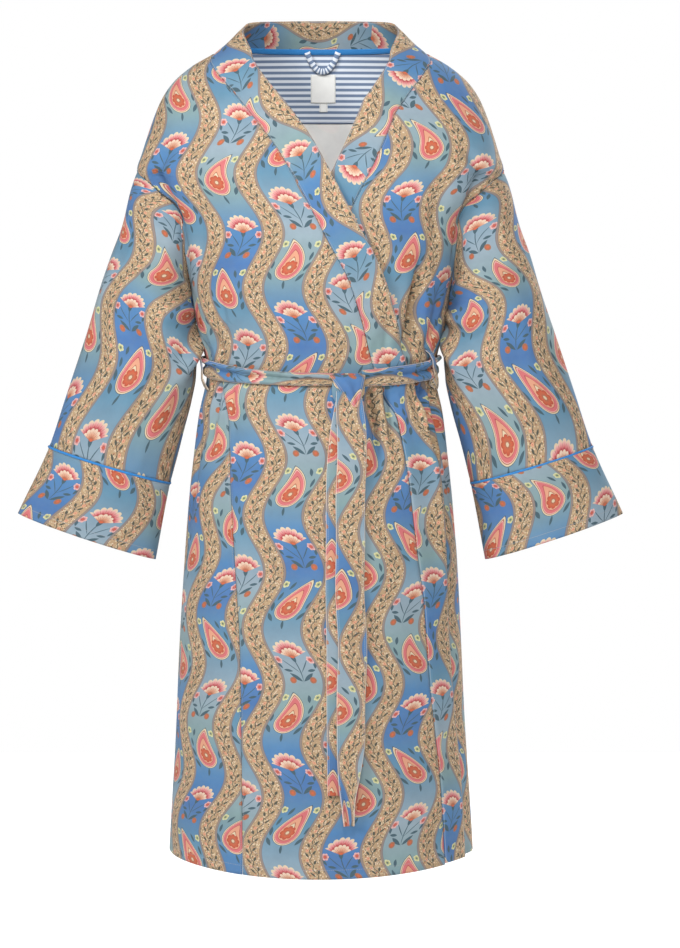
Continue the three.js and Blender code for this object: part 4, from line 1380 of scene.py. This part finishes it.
TAN = ink(184, 152, 114)
SAND = ink(206, 174, 130)
TAUPE = ink(150, 136, 128)
OUTLINE = ink(104, 96, 100)
CREAM = ink(240, 220, 182)
RUST = ink(176, 98, 66)
MOSS = ink(62, 70, 58)
ORANGE = ink(228, 96, 48)
DEEP_ORANGE = ink(186, 62, 24)
PEACH = ink(240, 168, 132)
PALE_PEACH = ink(250, 224, 196)
PINK = ink(226, 112, 116)
PALE_PINK = ink(248, 190, 182)
DEEP_PINK = ink(176, 52, 66)
DARK_TEAL = ink(22, 66, 84)
LEAF_TEAL = ink(44, 104, 120)
BUD_YELLOW = ink(232, 230, 170)
BUD_SHADE = ink(150, 156, 96)
SEED_BROWN = ink(178, 108, 68)
GROUND_BLUES = [
    (0.0, ink(80, 148, 182)),
    (0.2, ink(26, 114, 190)),
    (0.36, ink(44, 132, 196)),
    (0.55, ink(132, 170, 170)),
    (0.75, ink(158, 182, 196)),
    (1.0, ink(80, 148, 182)),
]
WASH = ink(100, 91, 86)
WASH_SHARE = 0.36
WHITE = (1, 1, 1, 1)

# A ribbon print of our own, in millimetres
RIBBON_SPACING = 80.0
RIBBON_SWAY = 15.0
RIBBON_WAVE = 150.0
RIBBON_HALF_WIDTH = 14.0
RIBBON_EDGE = 2.6
LEAF_STEP = 13.0
MOTIF_STEP = 75.0

# Leaves round a paisley: place, turn in degrees, half length and half width
PAISLEY_LEAVES = [
    ((-19, -22), 128, 7, 2.3),
    ((-22, -8), 108, 6.5, 2.2),
    ((-20, 6), 84, 6, 2),
    ((21, -20), 52, 7, 2.3),
    ((24, -5), 74, 6, 2.1),
    ((-11, 20), 60, 6, 2),
    ((0, -32), 90, 6, 1.8),
]
# A carnation's stem and the leaves of one side, which its other side mirrors
CARNATION_LEAVES = [
    ((0, -14), 90, 19, 0.7),
    ((9, -11), 48, 13, 0.6),
    ((8, -26), 38, 9, 2.4),
    ((15, -17), 10, 5.5, 1.8),
    ((23, -10), 66, 5, 1.8),
    ((0, 0), 90, 7, 3.2),
]
PAISLEY_RINGS = [
    (0.0, CREAM),
    (0.34, RUST),
    (0.38, PEACH),
    (0.6, DEEP_PINK),
    (0.63, PINK),
    (0.82, PALE_PINK),
    (0.86, RUST),
    (0.9, CREAM),
    (0.97, DARK_TEAL),
]


def drop_group():
    """A drop with a round foot and a leaning tip, in millimetres: 0 at its heart and 1 at its rim."""
    tree, given, out = group(
        "bent drop", {"X": 0.0, "Y": 0.0, "Radius": 14.0, "Height": 34.0, "Bend": 9.0}, ["Share"]
    )
    w = Wires(tree)
    y = given.outputs["Y"]
    up = w.math("MAXIMUM", w.math("DIVIDE", y, given.outputs["Height"]), 0.0)
    along = w.math("MAXIMUM", w.math("DIVIDE", w.times(y, -1.0), given.outputs["Radius"]), up)
    lean = w.times(given.outputs["Bend"], w.times(up, up))
    across = w.math("DIVIDE", w.size(w.take(given.outputs["X"], lean)), given.outputs["Radius"])
    power = w.math("MULTIPLY_ADD", w.math("GREATER_THAN", y, 0.0), -0.65, 2.0)
    total = w.add(w.math("POWER", along, power), w.math("POWER", across, power))
    w.put(out.inputs["Share"], w.math("POWER", total, w.math("DIVIDE", 1.0, power)))
    return tree


DROP = drop_group()


def print_group():
    """Swaying ribbons with a vine, and between them paisleys and carnations by turns."""
    tree, given, out = group("ribbon print", {"Cloth": None}, ["Color"])
    w = Wires(tree)
    u, v = w.split(given.outputs["Cloth"])
    u, v = w.times(u, 1000.0), w.times(v, 1000.0)
    flat = w.combine(u, v)
    sway = w.times(w.math("SINE", w.times(v, 2 * math.pi / RIBBON_WAVE)), RIBBON_SWAY)
    step = w.math("DIVIDE", w.take(u, sway), RIBBON_SPACING)
    column = w.math("FLOOR", step)
    x = w.times(w.take(w.math("FRACT", step), 0.5), RIBBON_SPACING)
    level = w.math("DIVIDE", w.math("MULTIPLY_ADD", column, MOTIF_STEP / 2, v), MOTIF_STEP)
    row = w.math("FLOOR", level)
    y = w.times(w.take(w.math("FRACT", level), 0.5), MOTIF_STEP)
    is_paisley = w.math("LESS_THAN", w.math("FRACT", w.times(w.add(row, column), 0.5)), 0.25)
    is_even = w.math("LESS_THAN", w.math("FRACT", w.times(row, 0.25)), 0.5)
    turned = w.times(x, w.math("MULTIPLY_ADD", is_even, 2.0, -1.0))

    tone = w.math("FRACT", w.math("MULTIPLY_ADD", column, 0.37, w.math("DIVIDE", v, 290.0)))
    ground = w.ramp(tone, GROUND_BLUES, "LINEAR")
    ground = w.blend(w.times(w.noise(flat, 0.11, 3.0), 0.35), ground, ink(112, 138, 156))
    teal = w.blend(w.noise(flat, 0.9, 1.0), DARK_TEAL, LEAF_TEAL)

    def foliage(color, side, leaves):
        green = None
        for at, turn, length, width in leaves:
            node = w.place(LEAF, X=side, Y=y, At_X=at[0], At_Y=at[1])
            node.inputs["Turn"].default_value = math.radians(turn)
            node.inputs["Length"].default_value = length
            node.inputs["Width"].default_value = width
            leaf = node.outputs[0]
            green = leaf if green is None else w.math("MAXIMUM", green, leaf)
        return w.blend(green, color, teal)

    def blossom(color, side, at, radius, petals, notch, stops):
        flower = w.place(FLOWER, X=side, Y=y, At_X=at[0], At_Y=at[1])
        flower.inputs["Radius"].default_value = radius
        flower.inputs["Petals"].default_value = petals
        flower.inputs["Notch"].default_value = notch
        paint = w.ramp(flower.outputs["Shade"], stops, "LINEAR")
        paint = w.blend(w.times(flower.outputs["Lines"], 0.7), paint, stops[1][1])
        return w.blend(flower.outputs["Petals"], color, paint)

    # a paisley: ring within ring, with a blossom at its heart
    paisley = foliage(ground, turned, PAISLEY_LEAVES)
    drop = w.place(DROP, X=turned, Y=w.add(y, 9.0), Radius=17.5, Height=38, Bend=13).outputs[0]
    paisley = w.blend(w.sharp(drop, 1.0, 0.02), paisley, w.ramp(drop, PAISLEY_RINGS))
    heart = [(0.2, CREAM), (0.26, RUST), (0.6, ORANGE), (0.95, DEEP_ORANGE)]
    paisley = blossom(paisley, turned, (0, -9), 9.5, 8, 0.24, heart)
    mirrored = w.size(x)
    bud = [(0.2, LEAF_TEAL), (0.3, BUD_SHADE), (0.6, BUD_YELLOW)]
    paisley = blossom(paisley, mirrored, (21, 22), 4.6, 5, 0.3, bud)

    # a carnation: a fringed fan on a stem, with buds
    carnation = foliage(ground, mirrored, CARNATION_LEAVES)
    outer = [(0.5, ORANGE), (0.62, DEEP_PINK), (0.68, PINK), (0.86, PALE_PINK), (0.95, CREAM)]
    fan = blossom(carnation, mirrored, (0, -1), 24, 18, 0.16, outer)
    inner = [(0.2, ORANGE), (0.3, RUST), (0.5, PEACH), (0.92, PALE_PEACH)]
    fan = blossom(fan, mirrored, (0, -1), 14, 14, 0.2, inner)
    above = w.sharp(w.take(w.times(mirrored, 0.42), y), 1.0, 0.3)
    carnation = w.blend(above, carnation, fan)
    seed = [(0.3, ORANGE), (0.5, RUST), (0.8, SEED_BROWN)]
    pale = [(0.2, ORANGE), (0.3, DEEP_PINK), (0.7, PALE_PINK)]
    carnation = blossom(carnation, mirrored, (21, -3), 5, 6, 0.3, pale)
    carnation = blossom(carnation, mirrored, (13, -30), 4.4, 11, 0.12, seed)
    color = w.blend(is_paisley, carnation, paisley)

    # the ribbon: a taupe edge, a tan ground and a vine with leaves and berries
    off = w.times(w.take(w.math("FRACT", w.add(step, 0.5)), 0.5), RIBBON_SPACING)
    near = w.times(w.size(off), 0.92)
    color = w.blend(w.sharp(near, RIBBON_HALF_WIDTH, 0.25), color, TAUPE)
    vine = w.blend(w.noise(flat, 0.5, 2.0), TAN, SAND)
    far, own = w.spots(flat, 0.46)
    specks = [(0.0, CREAM), (0.34, RUST), (0.5, MOSS), (0.7, PALE_PEACH), (0.88, TAUPE)]
    speck = w.ramp(own, specks)
    vine = w.blend(w.sharp(far, 0.4, 0.08), vine, speck)
    along = w.times(w.take(w.math("FRACT", w.math("DIVIDE", v, LEAF_STEP)), 0.5), LEAF_STEP)
    bend = w.times(w.math("SINE", w.times(v, 2 * math.pi / LEAF_STEP)), 1.6)
    vine = w.blend(w.sharp(w.size(w.take(off, bend)), 0.55, 0.2), vine, MOSS)
    for at_x, at_y, turn in ((4.6, 0.8, 52), (-4.6, -2.4, 128)):
        leaf = w.place(LEAF, X=off, Y=along, At_X=at_x, At_Y=at_y, Length=3.6, Width=1.5)
        leaf.inputs["Turn"].default_value = math.radians(turn)
        vine = w.blend(leaf.outputs[0], vine, MOSS)
    berry = w.place(FLOWER, X=off, Y=along, At_X=-4.8, At_Y=3.6, Radius=2.2, Petals=5, Notch=0.25)
    vine = w.blend(berry.outputs["Petals"], vine, w.blend(berry.outputs["Eye"], PEACH, RUST))
    color = w.blend(w.sharp(near, RIBBON_HALF_WIDTH - RIBBON_EDGE, 0.25), color, vine)
    for at in (RIBBON_HALF_WIDTH, RIBBON_HALF_WIDTH - RIBBON_EDGE):
        line = w.sharp(w.size(w.take(near, at)), 0.45, 0.25)
        color = w.blend(w.times(line, 0.55), color, OUTLINE)
    w.put(out.inputs["Color"], w.blend(WASH_SHARE, color, WASH))
    return tree


PRINT = print_group()


def cloth_material(name, paint, roughness=0.82, bump=0.00005):
    """A cloth: paint(wires, cloth map, edge map) gives its colour and any extra height."""
    material = bpy.data.materials.new(name)
    material.use_nodes = True
    tree = material.node_tree
    w = Wires(tree)
    shader = tree.nodes["Principled BSDF"]
    cloth = tree.nodes.new("ShaderNodeUVMap")
    cloth.uv_map = "cloth"
    edges = tree.nodes.new("ShaderNodeUVMap")
    edges.uv_map = "edges"
    weave = w.place(WEAVE, Cloth=cloth.outputs[0])
    color, height = paint(w, cloth.outputs[0], edges.outputs[0])
    mottling = [(0.3, (0.86, 0.86, 0.87)), (0.7, (1.0, 1.0, 1.0))]
    shade = w.ramp(weave.outputs["Mottle"], mottling, "LINEAR")
    w.put(shader.inputs["Base Color"], w.blend(1.0, color, shade, "MULTIPLY"))
    shader.inputs["Roughness"].default_value = roughness
    shader.inputs["Sheen Weight"].default_value = 0.06
    shader.inputs["Sheen Roughness"].default_value = 0.5
    shader.inputs["Specular IOR Level"].default_value = 0.3
    node = tree.nodes.new("ShaderNodeBump")
    node.inputs["Strength"].default_value = 0.5
    node.inputs["Distance"].default_value = bump
    w.put(node.inputs["Height"], w.add(weave.outputs["Height"], height))
    w.put(shader.inputs["Normal"], node.outputs[0])
    return material


def stitched(w, edges, color, thread, lines):
    """Lays stitches over a colour: a line is an axis of the edge map and its distance there."""
    measures = w.split(edges)
    height = 0.0
    for axis, at in lines:
        line = w.place(STITCH, Distance=measures[axis], Along=measures[1 - axis], At=at)
        color = w.blend(w.times(line.outputs["Thread"], 0.7), color, thread)
        groove = w.times(line.outputs["Groove"], -5.0)
        height = w.add(height, w.math("MULTIPLY_ADD", line.outputs["Thread"], 4.0, groove))
    return color, height


PANEL_THREAD = ink(140, 146, 152)
BAND_THREAD = ink(150, 156, 162)
STRIPE_THREAD = ink(120, 130, 160)
SATIN_THREAD = ink(205, 203, 196)
# the pale colour of the painted highlight along the belt's folded edges
PAINTED_EDGE_HIGHLIGHT = ink(222, 208, 196)
REVERSE_WHITE = ink(252, 250, 246)
STRIPE_WHITE = ink(226, 233, 242)
STRIPE_BLUE = ink(114, 132, 160)
SATIN_WHITE = ink(250, 250, 246)
CORD_BLUE = ink(28, 104, 172)
CORD_LIGHT = ink(62, 144, 210)


def print_color(w, cloth):
    return w.place(PRINT, Cloth=cloth).outputs["Color"]


def printed(w, cloth, edges):
    return stitched(w, edges, print_color(w, cloth), PANEL_THREAD, [(0, 0.002), (1, 0.012)])


def printed_band(w, cloth, edges):
    return stitched(w, edges, print_color(w, cloth), BAND_THREAD, [(0, 0.0015), (0, 0.0435)])


def printed_belt(w, cloth, edges):
    """The belt's folded edges are painted pale as a highlight, with a line of stitches beside them."""
    away, _ = w.split(edges)
    # painted highlight: both folded edges are lightened as if they caught the light
    edge_highlight = w.times(w.sharp(away, 0.001, 0.0005), 0.5)
    color = w.blend(edge_highlight, print_color(w, cloth), PAINTED_EDGE_HIGHLIGHT)
    return stitched(w, edges, color, BAND_THREAD, [(0, 0.003)])


def washed_reverse(w, cloth, edges):
    """The print shows faintly through the pale reverse."""
    return w.blend(0.92, print_color(w, cloth), REVERSE_WHITE), 0.0


def striped(w, cloth, edges):
    _, v = w.split(cloth)
    place = w.math("FRACT", w.math("DIVIDE", v, STRIPE_STEP))
    line = w.sharp(w.size(w.take(place, 0.5)), 0.25, 0.03)
    color = w.blend(line, STRIPE_WHITE, STRIPE_BLUE)
    return stitched(w, edges, color, STRIPE_THREAD, [(1, 0.0025)])


def bare_satin(w, cloth, edges):
    return stitched(w, edges, SATIN_WHITE, SATIN_THREAD, [(0, 0.0011), (1, 0.0011)])


def corded(w, cloth, edges):
    """A fine slanting twist over the cloth map."""
    u, v = w.split(cloth)
    rib = w.math("SINE", w.times(w.add(u, v), 2 * math.pi / TWIST_STEP))
    color = w.blend(w.math("MULTIPLY_ADD", rib, 0.25, 0.5), CORD_BLUE, CORD_LIGHT)
    return color, w.times(rib, 1.5)


PRINTED = cloth_material("printed cloth", printed)
PRINTED_BAND = cloth_material("printed band", printed_band)
PRINTED_BELT = cloth_material("printed belt", printed_belt)
REVERSE = cloth_material("washed reverse", washed_reverse)
STRIPED = cloth_material("striped cloth", striped)
SATIN = cloth_material("bare satin", bare_satin, roughness=0.45, bump=0.00003)
BLUE = cloth_material("blue cord", corded, roughness=0.6, bump=0.00012)


# Making the pieces


def finish_piece(piece, nodes, materials):
    for material in materials:
        piece.data.materials.append(material)
    if nodes:
        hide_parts(*nodes)
    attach(piece, "root")


def make_panels():
    right = front_panel("right", 190, 230)
    finish_piece(right, ["front_right"], [PRINTED, REVERSE])
    left = front_panel("left", 150, 230)
    finish_piece(left, ["front_left"], [PRINTED, REVERSE])
    back = back_panel(210, 220)
    finish_piece(back, ["back"], [PRINTED, REVERSE])


def make_sleeves():
    sleeve_end, cuff_start = CUFF_RING - SEAM_RINGS, CUFF_RING + SEAM_RINGS
    for side, sign in (("right", -1), ("left", 1)):
        name = f"sleeve_{side}_cloth"
        sleeve = sleeve_tube(name, sign, 0, sleeve_end, 130, 130, CLOTH, 17 + 40 * sign, False)
        finish_piece(sleeve, [f"sleeve_{side}"], [PRINTED, REVERSE])
        name = f"cuff_{side}_cloth"
        cuff = sleeve_tube(name, sign, cuff_start, 8, 130, 30, BAND_CLOTH, 61 - 20 * sign, True)
        finish_piece(cuff, [f"cuff_{side}"], [PRINTED, REVERSE])
        cord = cuff_cord(f"cuff_{side}_cord", sign)
        finish_piece(cord, [f"cuff_piping_{side}"], [BLUE])


def make_bands():
    right_number = float(band_number("right", NECK_RIGHT))
    left_number = float(band_number("left", NECK_LEFT))
    last = len(SEAM) - 1
    for name, side, node, start, end, rows, surface in (
        ("band_right", "right", "neckband_right", 0, right_number - 0.02, 330, upper),
        ("band_back", "back", "neckband_back", right_number + 0.02, left_number - 0.02, 90, upper),
        ("band_left", "left", "neckband_left", left_number + 0.02, last, 330, under),
    ):
        band, length = band_piece(name, side, start, end, 16, rows, surface)
        finish_piece(band, [node], [PRINTED_BAND, PRINTED_BAND])
    tape = neck_tape(right_number, left_number)
    finish_piece(tape, ["neck_tape"], [BLUE, BLUE])


def make_neck_trims():
    facing = neck_facing()
    finish_piece(facing, ["neck_facing"], [STRIPED, STRIPED])
    label = patch("bare_label", -14, 20, -62, -24, LABEL_LIFT, 0.5)
    finish_piece(label, ["label"], [SATIN, SATIN])
    tab = patch("bare_size_tab", -2, 9, -74, -62.3, LABEL_LIFT, 0.5)
    finish_piece(tab, ["size_tab"], [SATIN, SATIN])
    loop = hang_loop()
    finish_piece(loop, ["hang_loop"], [STRIPED, STRIPED])


def make_belt():
    waist = belt_round_waist()
    finish_piece(waist, ["belt_waist"], [PRINTED_BELT, PRINTED_BELT])
    front = belt_tail("belt_end_front", TAILS["front"], 1.8, 1)
    finish_piece(front, ["belt_tail_front"], [PRINTED_BELT, PRINTED_BELT])
    back = belt_tail("belt_end_back", TAILS["back"], 1.6, 0.25)
    finish_piece(back, ["belt_tail_back"], [PRINTED_BELT, PRINTED_BELT])
    core = knot_core()
    finish_piece(core, ["belt_knot"], [PRINTED_BELT])
    flap = knot_flap()
    finish_piece(flap, [], [PRINTED_BELT, PRINTED_BELT])
    for side, start, end in (("right", -79, -75), ("left", 62, 76)):
        carrier = belt_carrier(f"belt_carrier_{side}", start, end, 8)
        finish_piece(carrier, [f"belt_loop_{side}"], [PRINTED_BELT, PRINTED_BELT])


SENSOR_HEIGHT = 24
CAMERA_DISTANCE = 3.6
CAMERA_ACROSS = 0.026
CAMERA_HEIGHT = -0.33
ROBE_MIDDLE = -0.565
VIEW_HEIGHT = 948 * 1.343
FLOOR_Z = -1.32
LAMP_TARGET = (0, 0, -0.5)

# Each lamp's place, power in watts and size, in metres
LAMPS = (
    ("key", (-2.0, -2.3, 0.9), 65, 0.9),
    ("front", (0.2, -3.4, 0.5), 20, 1.0),
    ("fill", (2.2, -2.2, 0.2), 8, 2.2),
    ("rim", (1.9, 2.0, 1.2), 74, 1.2),
    ("neck", (0.02, -1.2, 0.45), 12, 0.3),
)


def turn_towards(thing, target):
    away = Vector(target) - thing.location
    thing.rotation_euler = away.to_track_quat("-Z", "Y").to_euler()


def make_camera():
    camera = bpy.data.cameras.new("camera")
    eye = bpy.data.objects.new("camera", camera)
    bpy.context.scene.collection.objects.link(eye)
    camera.sensor_fit = "VERTICAL"
    camera.sensor_height = SENSOR_HEIGHT
    eye.location = (CAMERA_ACROSS, -CAMERA_DISTANCE, CAMERA_HEIGHT)
    turn_towards(eye, (CAMERA_ACROSS, 0, ROBE_MIDDLE))
    camera.lens = SENSOR_HEIGHT * CAMERA_DISTANCE / (VIEW_HEIGHT * MM)
    bpy.context.scene.camera = eye


def make_lights():
    """Soft studio light, with a plain white surround behind everything."""
    world = bpy.data.worlds.new("world")
    bpy.context.scene.world = world
    world.use_nodes = True
    nodes, links = world.node_tree.nodes, world.node_tree.links
    soft = nodes["Background"]
    soft.inputs["Color"].default_value = WHITE
    soft.inputs["Strength"].default_value = 0.44
    white = nodes.new("ShaderNodeBackground")
    white.inputs["Color"].default_value = WHITE
    white.inputs["Strength"].default_value = 1.0
    ray = nodes.new("ShaderNodeLightPath")
    either = nodes.new("ShaderNodeMixShader")
    links.new(ray.outputs["Is Camera Ray"], either.inputs[0])
    links.new(soft.outputs[0], either.inputs[1])
    links.new(white.outputs[0], either.inputs[2])
    links.new(either.outputs[0], nodes["World Output"].inputs["Surface"])
    for name, place, power, size in LAMPS:
        light = bpy.data.lights.new(name, "AREA")
        light.energy = power
        light.size = size
        lamp = bpy.data.objects.new(name, light)
        bpy.context.scene.collection.objects.link(lamp)
        lamp.location = place
        turn_towards(lamp, LAMP_TARGET)
    bpy.context.scene.view_settings.view_transform = "Standard"


def make_floor():
    bm = bmesh.new()
    bmesh.ops.create_grid(bm, x_segments=1, y_segments=1, size=2.2)
    floor = new_piece("floor", bm)
    for vert in floor.data.vertices:
        vert.co.z = FLOOR_Z
    material = bpy.data.materials.new("pale floor")
    material.use_nodes = True
    shader = material.node_tree.nodes["Principled BSDF"]
    shader.inputs["Base Color"].default_value = (0.94, 0.94, 0.94, 1)
    shader.inputs["Roughness"].default_value = 0.9
    shader.inputs["Emission Color"].default_value = WHITE
    shader.inputs["Emission Strength"].default_value = 0.3
    floor.data.materials.append(material)


make_camera()
make_lights()
make_floor()
make_panels()
make_sleeves()
make_bands()
make_neck_trims()
make_belt()
